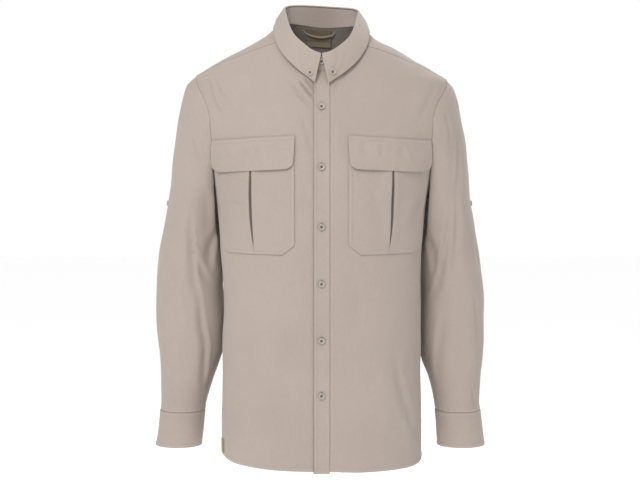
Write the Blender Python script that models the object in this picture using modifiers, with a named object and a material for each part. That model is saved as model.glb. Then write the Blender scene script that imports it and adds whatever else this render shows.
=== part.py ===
"""A long-sleeved outdoor shirt, filled out as if worn and open at neck, hem and cuffs.

Metres, +Z up. The shirt faces -Y, the wearer's right is -X. The origin is in the
middle of the neck, level with the tops of the shoulder seams.
"""

import math

import bmesh
import bpy
import numpy as np
from mathutils import Matrix, Vector

# Sizes of the cloth and its seams
CLOTH = 0.0012
BAND_CLOTH = 0.0015
STAND_CLOTH = 0.0018
SEAM_INSET = 0.00017
GAP = 0.0003
PATCH_GAP = 0.00045
LABEL_GAP = 0.0009
LABEL_CLOTH = 0.0010

# Sizes of the body
ARMPIT_LEVEL = -0.270
NECK_HALF_WIDTH = 0.0745
NECK_MIDDLE_Y = -0.008
NECK_FRONT_DEPTH = 0.079
NECK_BACK_DEPTH = 0.0765
NECK_JOIN_ANGLE = math.radians(60)
SHOULDER_LEAN = 0.0032

# The torso's rings, top to bottom
RING_COLUMNS = ("level", "right", "left", "front_y", "back_y", "side_y", "power")
RINGS = [
    (0.022, 0.0450, 0.0450, -0.026, 0.062, 0.008, 2.0),
    (0.015, 0.0620, 0.0620, -0.030, 0.065, 0.008, 2.0),
    (0.006, 0.0750, 0.0750, -0.037, 0.069, 0.008, 2.0),
    (0.0016, 0.0795, 0.0795, -0.041, 0.071, 0.008, 2.0),
    (-0.0146, 0.0975, 0.0975, -0.053, 0.078, 0.008, 2.0),
    (-0.0313, 0.1290, 0.1290, -0.0635, 0.0845, 0.008, 2.0),
    (-0.045, 0.1530, 0.1530, -0.072, 0.090, 0.008, 2.0),
    (-0.062, 0.1848, 0.1848, -0.0815, 0.096, 0.007, 2.0),
    (-0.072, 0.2005, 0.2005, -0.087, 0.099, 0.007, 2.0),
    (-0.086, 0.2200, 0.2200, -0.0935, 0.103, 0.006, 2.0),
    (-0.100, 0.2235, 0.2235, -0.099, 0.107, 0.006, 2.0),
    (-0.120, 0.2262, 0.2262, -0.107, 0.112, 0.005, 2.0),
    (-0.150, 0.2255, 0.2255, -0.117, 0.118, 0.004, 2.0),
    (-0.190, 0.2155, 0.2165, -0.126, 0.123, 0.003, 2.05),
    (-0.225, 0.2030, 0.2045, -0.131, 0.125, 0.002, 2.1),
    (-0.250, 0.1920, 0.1940, -0.133, 0.125, 0.001, 2.15),
    (-0.270, 0.1870, 0.1885, -0.134, 0.125, 0.0, 2.2),
    (-0.300, 0.1830, 0.1830, -0.135, 0.123, 0.0, 2.25),
    (-0.350, 0.1790, 0.1785, -0.134, 0.120, 0.0, 2.3),
    (-0.400, 0.1750, 0.1740, -0.132, 0.117, 0.0, 2.35),
    (-0.470, 0.1705, 0.1735, -0.130, 0.114, 0.0, 2.4),
    (-0.550, 0.1735, 0.1740, -0.129, 0.114, 0.0, 2.4),
    (-0.640, 0.1752, 0.1752, -0.128, 0.118, 0.0, 2.4),
    (-0.720, 0.1765, 0.1770, -0.127, 0.123, 0.0, 2.4),
    (-0.800, 0.1775, 0.1785, -0.127, 0.126, 0.0, 2.4),
]

# The hem's level, by how far round from the middle of the front, in degrees
HEM_COLUMNS = ("round", "level")
HEM = [
    (-180.0, -0.772),
    (-140.0, -0.768),
    (-115.0, -0.755),
    (-97.0, -0.741),
    (-90.0, -0.7375),
    (-75.0, -0.7395),
    (-50.0, -0.7460),
    (-20.0, -0.7500),
    (0.0, -0.7508),
    (20.0, -0.7530),
    (50.0, -0.7525),
    (75.0, -0.7495),
    (90.0, -0.7455),
    (97.0, -0.7475),
    (115.0, -0.7575),
    (140.0, -0.768),
    (180.0, -0.772),
]

# The armhole seam seen from the side, from the armpit up the front and down the back
ARMHOLE_COLUMNS = ("part", "y", "level")
ARMHOLE = [
    (0.000, 0.000, -0.2700),
    (0.045, -0.0215, -0.2620),
    (0.090, -0.0385, -0.2470),
    (0.150, -0.0555, -0.2210),
    (0.215, -0.0622, -0.1900),
    (0.280, -0.0618, -0.1600),
    (0.340, -0.0545, -0.1360),
    (0.390, -0.0420, -0.1160),
    (0.440, -0.0235, -0.0990),
    (0.475, -0.0110, -0.0885),
    (0.500, 0.0060, -0.0845),
    (0.540, 0.0260, -0.0895),
    (0.600, 0.0470, -0.1040),
    (0.650, 0.0600, -0.1220),
    (0.720, 0.0690, -0.1540),
    (0.790, 0.0690, -0.1900),
    (0.860, 0.0570, -0.2270),
    (0.930, 0.0330, -0.2560),
    (1.000, 0.000, -0.2700),
]
ARMHOLE_MIDDLE_Y = 0.003
ARMHOLE_MIDDLE_LEVEL = -0.177
FRONT_SEAM_PART = 0.484
BACK_SEAM_PART = 0.625

# The back yoke seam, from the middle out to the armhole
BACK_YOKE_MIDDLE_LEVEL = -0.1020
YOKE_NECK_SHARE = 0.60
YOKE_SWING = 0.015

# Sleeve stations, armhole to cuff seam; the outer side is away from the body
SLEEVE_COLUMNS = (
    "outer_level",
    "inner_level",
    "outer_right",
    "outer_left",
    "inner_right",
    "inner_left",
    "middle_y",
    "front",
    "back",
)
SLEEVE = [
    (-0.0845, -0.2700, 0.2185, 0.2185, 0.1870, 0.1885, 0.003, 0.0630, 0.0680),
    (-0.0980, -0.2745, 0.2345, 0.2295, 0.1850, 0.1855, 0.005, 0.0640, 0.0690),
    (-0.1220, -0.2825, 0.2435, 0.2375, 0.1790, 0.1790, 0.009, 0.0645, 0.0690),
    (-0.1520, -0.2940, 0.2500, 0.2445, 0.1730, 0.1730, 0.013, 0.0650, 0.0680),
    (-0.1900, -0.3110, 0.2555, 0.2515, 0.1710, 0.1710, 0.018, 0.0660, 0.0670),
    (-0.2290, -0.3310, 0.2610, 0.2570, 0.1710, 0.1710, 0.024, 0.0660, 0.0660),
    (-0.2680, -0.3550, 0.2660, 0.2610, 0.1720, 0.1720, 0.030, 0.0650, 0.0650),
    (-0.3120, -0.3830, 0.2735, 0.2665, 0.1730, 0.1730, 0.036, 0.0640, 0.0640),
    (-0.3530, -0.4130, 0.2820, 0.2735, 0.1740, 0.1740, 0.041, 0.0630, 0.0630),
    (-0.3980, -0.4460, 0.2900, 0.2815, 0.1760, 0.1760, 0.045, 0.0620, 0.0620),
    (-0.4430, -0.4800, 0.2940, 0.2880, 0.1735, 0.1740, 0.047, 0.0610, 0.0610),
    (-0.4890, -0.5150, 0.2950, 0.2905, 0.1720, 0.1730, 0.047, 0.0600, 0.0600),
    (-0.5320, -0.5480, 0.2930, 0.2905, 0.1725, 0.1735, 0.046, 0.0580, 0.0590),
    (-0.5750, -0.5820, 0.2890, 0.2885, 0.1820, 0.1800, 0.044, 0.0550, 0.0560),
    (-0.6170, -0.6170, 0.2870, 0.2835, 0.1935, 0.1920, 0.040, 0.0510, 0.0510),
    (-0.6480, -0.6475, 0.2865, 0.2825, 0.2025, 0.2005, 0.036, 0.0460, 0.0460),
    (-0.6710, -0.6710, 0.2870, 0.2835, 0.2080, 0.2040, 0.033, 0.0410, 0.0410),
]
SLEEVE_CLEAR_OF_BODY = 0.0042

# Cuffs, seam to free edge
CUFF_COLUMNS = ("level", "outer_right", "outer_left", "inner_right", "inner_left", "middle_y", "depth")
CUFF = [
    (-0.6716, 0.2885, 0.2848, 0.2075, 0.2030, 0.033, 0.0410),
    (-0.7020, 0.2915, 0.2880, 0.2100, 0.2050, 0.031, 0.0400),
    (-0.7340, 0.2965, 0.2920, 0.2145, 0.2070, 0.029, 0.0385),
]
CUFF_LAP = 0.12
CUFF_LAP_START = 0.64
CUFF_BUTTON_LEVEL = -0.703

# The placket and the front edges
PLACKET_LEFT_X = -0.0135
PLACKET_RIGHT_X = 0.0140
RIGHT_FRONT_EDGE_X = 0.0118
LEFT_FRONT_EDGE_X = 0.0124
PLACKET_DROP = 0.0030

# The folded edge at the top of the collar, from the middle of the front to the back
FOLD_COLUMNS = ("round", "x", "y", "level")
FOLD = [
    (0.0, 0.000, -0.0885, -0.0470),
    (12.0, 0.013, -0.0865, -0.0415),
    (30.0, 0.030, -0.0770, -0.0300),
    (50.0, 0.0475, -0.0580, -0.0130),
    (70.0, 0.0565, -0.0330, 0.0050),
    (90.0, 0.0615, -0.0030, 0.0230),
    (110.0, 0.0645, 0.0260, 0.0350),
    (130.0, 0.0570, 0.0480, 0.0410),
    (155.0, 0.0300, 0.0600, 0.0435),
    (180.0, 0.000, 0.0630, 0.0440),
]

# The lower edge of the collar leaf, from its point to the back
LEAF_COLUMNS = ("round", "x", "y", "level")
LEAF = [
    (0.0, 0.0112, -0.1035, -0.0940),
    (14.0, 0.0240, -0.0980, -0.0845),
    (30.0, 0.0400, -0.0920, -0.0730),
    (50.0, 0.0640, -0.0745, -0.0490),
    (70.0, 0.0775, -0.0480, -0.0250),
    (90.0, 0.0825, -0.0120, -0.0025),
    (110.0, 0.0820, 0.0250, 0.0020),
    (130.0, 0.0700, 0.0560, 0.0010),
    (155.0, 0.0370, 0.0770, 0.0000),
    (180.0, 0.000, 0.0830, 0.0000),
]
LEAF_CLOTH = 0.0015
LEAF_FRONT_HALF_GAP = 0.0006
LEAF_FRONT_LIFT = 0.0011
LEAF_LAP_ROOM = 0.0024
LEAF_ROLL = 0.0014
LEAF_BOW = 0.0035
LEAF_FRONT_TURNS = (0.3, 7.0, 15.0, 26.0, 38.0)
STAND_LIFT = 0.0004
STAND_FRONT_LIFT = 0.0006
STAND_TOP_DROP = 0.0016
STAND_SWELL = 0.0012
STAND_LAP = 0.0005
PLACKET_TOP_DROP = 0.0022

# Pocket bags: side edges by level, as distances from the middle of the front
BAG_COLUMNS = ("level", "outer", "inner", "slit", "open")
BAG = [
    (-0.2060, 0.1820, 0.0450, 0.1190, 0.05),
    (-0.2180, 0.1825, 0.0450, 0.1190, 0.15),
    (-0.2300, 0.1825, 0.0450, 0.1190, 0.30),
    (-0.2550, 0.1815, 0.0450, 0.1190, 0.75),
    (-0.2850, 0.1775, 0.0450, 0.1185, 1.00),
    (-0.3150, 0.1745, 0.0450, 0.1180, 0.90),
    (-0.3420, 0.1725, 0.0450, 0.1165, 0.55),
    (-0.3640, 0.1715, 0.0450, 0.1145, 0.15),
    (-0.3735, 0.1665, 0.0560, 0.1135, 0.03),
    (-0.3815, 0.1610, 0.0650, 0.1130, 0.00),
]
BAG_CLOTH = 0.0012
LIP_HALF_GAP = 0.0046
LIP_RISE = 0.0024

# Pocket flaps: rows from the top seam down; the levels differ at the two ends
FLAP_COLUMNS = ("outer", "inner", "outer_level", "inner_level", "rise")
FLAP = [
    (0.1860, 0.0445, -0.1905, -0.1815, 0.0000),
    (0.1862, 0.0450, -0.2040, -0.1990, 0.0022),
    (0.1855, 0.0460, -0.2230, -0.2190, 0.0037),
    (0.1835, 0.0480, -0.2350, -0.2310, 0.0043),
    (0.1730, 0.0570, -0.2440, -0.2380, 0.0045),
]
FLAP_CLOTH = 0.0013

# Buttons
BUTTON_RADIUS = 0.0059
SMALL_BUTTON_RADIUS = 0.0052
TAB_BUTTON_RADIUS = 0.0048
BUTTON_HEIGHT = 0.0024
POINT_BUTTON_SHARE = 0.40
POINT_BUTTON_FALL = {"left": 0.26, "right": 0.46}
STAND_BUTTON_SHARE = 0.55
TAB_BUTTON_PART = 0.485
TAB_BUTTON_STATION = 6.78
BUTTON_EDGE_HEIGHT = 0.62
BUTTON_DISH_HEIGHT = 0.66
BUTTON_RIM_RADIUS = 0.84
BUTTON_DISH_RADIUS = 0.66
BUTTON_STEPS = 14
BUTTON_LIFT = 0.0002
STAND_BUTTON_LIFT = 0.0016
POINT_BUTTON_LIFT = 0.0004
FRONT_BUTTON_LEVELS = (-0.134, -0.234, -0.334, -0.430, -0.5265, -0.620)

# The neck label, the hanger loop and the side label
LABEL_LEFT_X = -0.0275
LABEL_RIGHT_X = 0.0170
LABEL_LEVELS = (0.0050, -0.0060, -0.0165, -0.0255)
LOOP_LEFT_X = -0.0330
LOOP_LENGTH = 0.0590
LOOP_LEVEL = 0.0040
LOOP_SAG = 0.0090
LOOP_BELLY = 0.0050
LOOP_WIDTH = 0.0035
LOOP_CLOTH = 0.0011
SIDE_LABEL_TURNS = (81.0, 77.0, 72.5)
SIDE_LABEL_LEVELS = (-0.7110, -0.7230, -0.7350)

# How many steps the meshes take
ROWS_BELOW_ARMPIT = 13
ROWS_ABOVE_ARMPIT = 10
NECK_FRONT_ROWS = 4
FRONT_COLUMNS = 11
NECK_BACK_COLUMNS = 14
YOKE_ROWS = 6
ARMHOLE_BACK_STEPS = 9

# Soft folds that show in the body's outline and in the sleeves
BODY_FOLD_COLUMNS = ("x0", "level0", "x1", "level1", "width", "rise")
BODY_FOLDS_FRONT = [
    (0.126, -0.560, 0.166, -0.720, 0.016, -0.0022),
    (0.143, -0.640, 0.158, -0.735, 0.015, 0.0020),
    (-0.150, -0.600, -0.148, -0.730, 0.018, 0.0018),
    (0.172, -0.300, 0.160, -0.345, 0.014, -0.0012),
]
BODY_FOLDS_BACK = [
    (0.110, -0.300, 0.085, -0.640, 0.022, 0.0030),
    (-0.115, -0.320, -0.080, -0.660, 0.022, 0.0030),
    (0.040, -0.430, 0.055, -0.740, 0.022, -0.0028),
    (-0.030, -0.400, -0.045, -0.730, 0.024, -0.0025),
    (-0.140, -0.180, -0.120, -0.300, 0.020, 0.0016),
]
SLEEVE_FOLD_COLUMNS = ("part0", "station0", "part1", "station1", "width", "rise")
SLEEVE_FOLDS_RIGHT = [
    (0.190, 4.5, 0.155, 8.5, 0.040, -0.0040),
    (0.270, 5.0, 0.245, 9.5, 0.045, 0.0022),
    (0.640, 7.5, 0.780, 10.5, 0.045, 0.0030),
    (0.690, 3.0, 0.760, 6.0, 0.040, -0.0024),
]
SLEEVE_FOLDS_LEFT = [
    (0.330, 3.0, 0.260, 7.0, 0.045, -0.0026),
    (0.200, 5.0, 0.150, 8.5, 0.040, -0.0030),
    (0.640, 7.0, 0.770, 10.0, 0.045, 0.0030),
    (0.700, 3.5, 0.760, 6.5, 0.040, -0.0022),
]


def column(rows, names, name):
    """One named column of a table, as numbers."""
    return np.array([row[names.index(name)] for row in rows], float)


def smooth(at, places, values):
    """A smooth curve through a table that doesn't overshoot between its rows."""
    places = np.asarray(places, float)
    values = np.asarray(values, float)
    if places[0] > places[-1]:
        places = places[::-1]
        values = values[::-1]
    step = np.diff(places)
    rise = np.diff(values) / step
    slope = np.zeros_like(values)
    slope[0] = rise[0]
    slope[-1] = rise[-1]
    before = rise[:-1]
    after = rise[1:]
    weight_one = 2 * step[1:] + step[:-1]
    weight_two = step[1:] + 2 * step[:-1]
    turning = before * after <= 0
    safe_before = np.where(turning, 1.0, before)
    safe_after = np.where(turning, 1.0, after)
    inner = (weight_one + weight_two) / (weight_one / safe_before + weight_two / safe_after)
    slope[1:-1] = np.where(turning, 0.0, inner)
    at = np.clip(at, places[0], places[-1])
    k = np.clip(np.searchsorted(places, at, side="right") - 1, 0, len(step) - 1)
    h = step[k]
    t = (at - places[k]) / h
    start = (1 + 2 * t) * (1 - t) ** 2 * values[k] + t * (1 - t) ** 2 * h * slope[k]
    end = t * t * (3 - 2 * t) * values[k + 1] + t * t * (t - 1) * h * slope[k + 1]
    return start + end


def lookup(at, rows, names, key, name):
    """A table's column, read as a smooth curve over its key column."""
    return smooth(at, column(rows, names, key), column(rows, names, name))


def ease(value, start, end):
    """0 before start, 1 after end, smooth between."""
    t = np.clip((value - start) / (end - start), 0.0, 1.0)
    return t * t * (3 - 2 * t)


def signed_power(value, power):
    return np.sign(value) * np.abs(value) ** power


def unit(vectors):
    length = np.linalg.norm(vectors, axis=-1, keepdims=True)
    return vectors / np.maximum(length, 1e-12)


def lean(x, level):
    """The right shoulder sits a little higher than the left one."""
    return -SHOULDER_LEAN * np.tanh(x / 0.05) * ease(level, -0.17, -0.09)


def fold_rise(a, b, rows, scale_a, scale_b):
    """The sum of soft folds, each a line in two coordinates with a bell-shaped section."""
    total = np.zeros(np.broadcast(a, b).shape)
    for a0, b0, a1, b1, width, rise in rows:
        along_a = (a1 - a0) * scale_a
        along_b = (b1 - b0) * scale_b
        length = math.hypot(along_a, along_b)
        away_a = (a - a0) * scale_a
        away_b = (b - b0) * scale_b
        t = (away_a * along_a + away_b * along_b) / length**2
        across = (away_a * along_b - away_b * along_a) / length
        ends = ease(t, -0.25, 0.25) * (1 - ease(t, 0.75, 1.25))
        total = total + rise * ends * np.exp(-((across / (width * scale_a)) ** 2))
    return total


def ring(level, name):
    return lookup(level, RINGS, RING_COLUMNS, "level", name)


def torso_base(angle, level):
    """The torso's surface: the angle runs from the middle of the front, + to the left side."""
    angle = np.asarray(angle, float)
    level = np.asarray(level, float)
    angle, level = np.broadcast_arrays(angle, level)
    power = 2 / ring(level, "power")
    sine = np.sin(angle)
    cosine = np.cos(angle)
    half = np.where(sine >= 0, ring(level, "left"), ring(level, "right"))
    side_y = ring(level, "side_y")
    depth = np.where(cosine >= 0, side_y - ring(level, "front_y"), ring(level, "back_y") - side_y)
    x = half * signed_power(sine, power)
    y = side_y - depth * signed_power(cosine, power)
    return np.stack([x, y, level + lean(x, level)], axis=-1)


def torso_normal(angle, level):
    step_angle = 0.004
    step_level = 0.0008
    across = torso_base(angle + step_angle, level) - torso_base(angle - step_angle, level)
    up = torso_base(angle, level + step_level) - torso_base(angle, level - step_level)
    return unit(np.cross(across, up))


def torso(angle, level, height=0.0):
    """A point on the torso's cloth, moved out by a height."""
    base = torso_base(angle, level)
    front = fold_rise(base[..., 0], base[..., 2], BODY_FOLDS_FRONT, 1.0, 1.0)
    back = fold_rise(base[..., 0], base[..., 2], BODY_FOLDS_BACK, 1.0, 1.0)
    rise = np.where(np.cos(angle) >= 0, front, back)
    rise = rise * ease(np.abs(np.cos(angle)), 0.0, 0.12)
    return base + torso_normal(angle, level) * (np.asarray(height) + rise)[..., None]


def front_angle(x, level):
    """The angle at which the torso's front has a given x."""
    x, level = np.broadcast_arrays(np.asarray(x, float), np.asarray(level, float))
    half = np.where(x >= 0, ring(level, "left"), ring(level, "right"))
    share = np.clip(np.abs(x) / half, 0.0, 1.0) ** (ring(level, "power") / 2)
    return np.sign(x) * np.arcsin(share)


def level_over(x, y):
    """The level of the shoulder and chest surface over a point in plan."""
    x, y = np.broadcast_arrays(np.asarray(x, float), np.asarray(y, float))
    low = np.full(x.shape, -0.30)
    high = np.full(x.shape, 0.021)
    for _ in range(44):
        middle = (low + high) / 2
        half = np.where(x >= 0, ring(middle, "left"), ring(middle, "right"))
        side_y = ring(middle, "side_y")
        depth = np.where(y <= side_y, side_y - ring(middle, "front_y"), ring(middle, "back_y") - side_y)
        power = ring(middle, "power")
        inside = (np.abs(x) / half) ** power + (np.abs(y - side_y) / depth) ** power < 1
        low = np.where(inside, middle, low)
        high = np.where(inside, high, middle)
    return (low + high) / 2


def angle_over(x, y, level):
    """The torso angle of a point that lies on the surface at a level."""
    half = np.where(x >= 0, ring(level, "left"), ring(level, "right"))
    side_y = ring(level, "side_y")
    depth = np.where(y <= side_y, side_y - ring(level, "front_y"), ring(level, "back_y") - side_y)
    power = ring(level, "power") / 2
    return np.arctan2(signed_power(x / half, power), signed_power((side_y - y) / depth, power))


def neck_plan(round_angle):
    """The neck seam in plan, by the angle from the middle of the front."""
    x = NECK_HALF_WIDTH * np.sin(round_angle)
    cosine = np.cos(round_angle)
    depth = np.where(cosine >= 0, NECK_FRONT_DEPTH, NECK_BACK_DEPTH)
    return x, NECK_MIDDLE_Y - depth * cosine


def neck_on_torso(round_angle):
    """The neck seam as torso angle and level."""
    x, y = neck_plan(round_angle)
    level = level_over(x, y)
    return angle_over(x, y, level), level


def armhole_on_torso(part, side):
    """The armhole seam as torso angle and level; part runs 0 to 1 from the armpit."""
    y = lookup(part, ARMHOLE, ARMHOLE_COLUMNS, "part", "y")
    level = lookup(part, ARMHOLE, ARMHOLE_COLUMNS, "part", "level")
    side_y = ring(level, "side_y")
    depth = np.where(y <= side_y, side_y - ring(level, "front_y"), ring(level, "back_y") - side_y)
    power = ring(level, "power") / 2
    cosine = signed_power((side_y - y) / depth, power)
    return side * np.arccos(np.clip(cosine, -1.0, 1.0)), level


def hem_level(angle):
    """The hem's level round the body, smoothed by its table."""
    turned = (np.degrees(angle) + 180.0) % 360.0 - 180.0
    return lookup(turned, HEM, HEM_COLUMNS, "round", "level")


def sleeve_value(station, name):
    return smooth(station, np.arange(len(SLEEVE)), column(SLEEVE, SLEEVE_COLUMNS, name))


def sleeve_section(part, station, side):
    """A point of a sleeve's section: part 0 is the inner side, 0.25 the front, 0.5 the outer side."""
    which = "left" if side > 0 else "right"
    outer_x = sleeve_value(station, "outer_" + which)
    inner_x = sleeve_value(station, "inner_" + which)
    outer_level = sleeve_value(station, "outer_level")
    inner_level = sleeve_value(station, "inner_level")
    turn = 2 * math.pi * part
    cosine = signed_power(np.cos(turn), 0.94)
    sine = signed_power(np.sin(turn), 0.94)
    depth = np.where(sine >= 0, sleeve_value(station, "front"), sleeve_value(station, "back"))
    x = (outer_x + inner_x) / 2 - (outer_x - inner_x) / 2 * cosine
    z = (outer_level + inner_level) / 2 - (outer_level - inner_level) / 2 * cosine
    y = sleeve_value(station, "middle_y") - depth * sine
    return np.stack([side * x, y, z], axis=-1)


def beyond_armhole(y, level):
    """How far a point seen from the side lies outside the armhole seam; negative inside it."""
    parts = np.linspace(0, 1, 181)[:-1]
    away_y = lookup(parts, ARMHOLE, ARMHOLE_COLUMNS, "part", "y") - ARMHOLE_MIDDLE_Y
    away_z = lookup(parts, ARMHOLE, ARMHOLE_COLUMNS, "part", "level") - ARMHOLE_MIDDLE_LEVEL
    turn = np.arctan2(away_y, -away_z)
    order = np.argsort(turn)
    reach = np.hypot(away_y, away_z)
    turn_at = np.arctan2(y - ARMHOLE_MIDDLE_Y, ARMHOLE_MIDDLE_LEVEL - level)
    seam_reach = np.interp(turn_at, turn[order], reach[order], period=2 * math.pi)
    return np.hypot(y - ARMHOLE_MIDDLE_Y, level - ARMHOLE_MIDDLE_LEVEL) - seam_reach


def clear_of_body(points, side):
    """Keep the sleeve just outside the torso's panels below and beside the armhole."""
    level = points[..., 2]
    beyond = beyond_armhole(points[..., 1], level)
    clearance = SLEEVE_CLEAR_OF_BODY * (0.3 + 0.7 * ease(beyond, 0.0, 0.025))
    half = ring(level, "left" if side > 0 else "right") + clearance
    side_y = ring(level, "side_y")
    y = points[..., 1]
    depth = np.where(y <= side_y, side_y - ring(level, "front_y"), ring(level, "back_y") - side_y) + clearance
    power = ring(level, "power")
    room = np.clip(1 - (np.abs(y - side_y) / depth) ** power, 0.0, 1.0)
    wall = half * room ** (1 / power)
    x = points[..., 0] * side
    soft = 0.0016
    pushed = (x + wall + np.sqrt((x - wall) ** 2 + soft**2)) / 2
    applies = ease(beyond, -0.006, 0.002)
    out = points.copy()
    out[..., 0] = side * (x + (pushed - x) * applies)
    return out


def sleeve_base(part, station, side):
    part, station = np.broadcast_arrays(np.asarray(part, float), np.asarray(station, float))
    points = sleeve_section(part, station, side)
    angle, level = armhole_on_torso(part % 1.0, side)
    shift = torso(angle, level) - sleeve_section(part, np.zeros_like(station), side)
    fade = 1 - ease(station, 0.0, 3.5)
    points = points + shift * fade[..., None]
    cleared = clear_of_body(points, side)
    return np.where((station > 0.3)[..., None], cleared, points)


def sleeve_normal(part, station, side):
    step_part = 0.004
    step_station = 0.06
    around = sleeve_base(part + step_part, station, side) - sleeve_base(part - step_part, station, side)
    upper = np.clip(station - step_station, 0.0, len(SLEEVE) - 1)
    lower = np.clip(station + step_station, 0.0, len(SLEEVE) - 1)
    along = sleeve_base(part, lower, side) - sleeve_base(part, upper, side)
    return unit(np.cross(along, around)) * side


def sleeve(part, station, side, height=0.0):
    """A point on a sleeve's cloth, moved out by a height."""
    part, station = np.broadcast_arrays(np.asarray(part, float), np.asarray(station, float))
    rows = SLEEVE_FOLDS_LEFT if side > 0 else SLEEVE_FOLDS_RIGHT
    rise = fold_rise(part, station, rows, 1.0, 0.1) * ease(station, 1.0, 3.0)
    base = sleeve_base(part, station, side)
    return base + sleeve_normal(part, station, side) * (np.asarray(height) + rise)[..., None]


def new_object(name, vertices, faces, collection, material):
    mesh = bpy.data.meshes.new(name)
    mesh.from_pydata([tuple(v) for v in vertices], [], faces)
    mesh.validate()
    work = bmesh.new()
    work.from_mesh(mesh)
    if work.calc_volume(signed=True) < 0:
        bmesh.ops.reverse_faces(work, faces=work.faces[:])
    work.to_mesh(mesh)
    work.free()
    mesh.shade_smooth()
    mesh.set_sharp_from_angle(angle=math.radians(40))
    item = bpy.data.objects.new(name, mesh)
    item.data.materials.append(material)
    collection.objects.link(item)
    return item


def wall(name, outer, inner, collection, material, around=False):
    """A closed cloth wall between an outer and an inner grid of points."""
    rows, columns = outer.shape[:2]
    vertices = np.concatenate([outer.reshape(-1, 3), inner.reshape(-1, 3)])
    offset = rows * columns
    faces = []
    last = columns if around else columns - 1

    def number(row, col, layer):
        return layer * offset + row * columns + col % columns

    def add_edge_face(one, two, turned):
        corners = [number(*one, 0), number(*two, 0), number(*two, 1), number(*one, 1)]
        a, b, c, d = [vertices[k] for k in corners]
        if np.linalg.norm(a - c) <= np.linalg.norm(b - d):
            splits = ((0, 1, 2), (0, 2, 3))
        else:
            splits = ((0, 1, 3), (1, 2, 3))
        for split in splits:
            face = [corners[k] for k in split]
            faces.append(face[::-1] if turned else face)

    for row in range(rows - 1):
        for col in range(last):
            corners = [(row, col), (row, col + 1), (row + 1, col + 1), (row + 1, col)]
            a, b, c, d = [outer[r, k % columns] for r, k in corners]
            first = np.linalg.norm(a - c) <= np.linalg.norm(b - d)
            splits = ((0, 1, 2), (0, 2, 3)) if first else ((0, 1, 3), (1, 2, 3))
            for split in splits:
                faces.append([number(*corners[k], 0) for k in split])
                faces.append([number(*corners[k], 1) for k in reversed(split)])
    for row in (0, rows - 1):
        for col in range(last):
            add_edge_face((row, col), (row, col + 1), row == 0)
    if not around:
        for col in (0, columns - 1):
            for row in range(rows - 1):
                add_edge_face((row, col), (row + 1, col), col == columns - 1)
    return new_object(name, vertices, faces, collection, material)


def inset_edges(outer, inner, edges, distance=SEAM_INSET):
    """Draw the named edges of a panel back from their seams."""
    moves = np.zeros_like(outer)
    if "bottom" in edges:
        moves[0] += unit(outer[1] - outer[0]) * distance
    if "top" in edges:
        moves[-1] += unit(outer[-2] - outer[-1]) * distance
    if "start" in edges:
        moves[:, 0] += unit(outer[:, 1] - outer[:, 0]) * distance
    if "end" in edges:
        moves[:, -1] += unit(outer[:, -2] - outer[:, -1]) * distance
    return outer + moves, inner + moves


def armhole_seam(part, side):
    """Where torso and sleeve meet: the point, and the way into each wall from it."""
    angle, level = armhole_on_torso(part, side)
    point = torso(angle, level)
    body_normal = torso_normal(angle, level)
    station = np.full(np.shape(part), 0.35)
    onward = unit(sleeve(part, station, side) - point)
    around = sleeve(np.asarray(part) + 0.004, station * 0, side) - sleeve(np.asarray(part) - 0.004, station * 0, side)
    arm_normal = unit(np.cross(onward, around)) * side
    outward = (body_normal * onward).sum(-1)
    both = unit(body_normal + arm_normal)
    share = ease(-outward, 0.0, 0.15)[..., None]
    body_way = unit(body_normal * (1 - share) + both * share)
    arm_way = unit(arm_normal * (1 - share) + both * share)
    body_length = CLOTH / np.maximum((body_way * body_normal).sum(-1, keepdims=True), 0.6)
    arm_length = CLOTH / np.maximum((arm_way * arm_normal).sum(-1, keepdims=True), 0.6)
    return point, -body_way * body_length, -arm_way * arm_length


def neck_wall_way(normal):
    """Panels end in an upright face at the neck."""
    length = CLOTH / np.maximum(normal[..., 2:3], 0.6)
    return np.concatenate([np.zeros_like(normal[..., :2]), -length], axis=-1)


def blend_patch(bottom, top, start, end):
    """Fill four edges with a patch; each edge is an array of points in any coordinates."""
    rows = len(start)
    columns = len(bottom)
    u = np.linspace(0, 1, columns)[None, :, None]
    v = np.linspace(0, 1, rows)[:, None, None]
    ruled_rows = (1 - v) * bottom[None] + v * top[None]
    ruled_columns = (1 - u) * start[:, None] + u * end[:, None]
    corners = (1 - u) * (1 - v) * bottom[0] + u * (1 - v) * bottom[-1] + (1 - u) * v * top[0] + u * v * top[-1]
    return ruled_rows + ruled_columns - corners


def front_yoke_seam(side, steps):
    """The forward shoulder seam in plan and as angle and level, from neck to armhole."""
    neck_x, neck_y = neck_plan(side * NECK_JOIN_ANGLE)
    angle, level = armhole_on_torso(np.array([FRONT_SEAM_PART]), side)
    arm = torso_base(angle, level)[0]
    t = np.linspace(0, 1, steps + 1)
    x = neck_x + (arm[0] - neck_x) * t
    y = neck_y + (arm[1] - neck_y) * (0.55 * t + 0.45 * t**3) + 0.004 * np.sin(math.pi * t)
    y = neck_y + (y - neck_y) * (arm[1] - neck_y) / (y[-1] - neck_y)
    seam_level = level_over(x, y)
    seam_angle = angle_over(x, y, seam_level)
    seam_angle[-1] = angle[0]
    seam_level[-1] = level[0]
    return np.stack([x, y], -1), np.stack([seam_angle, seam_level], -1)


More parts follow.
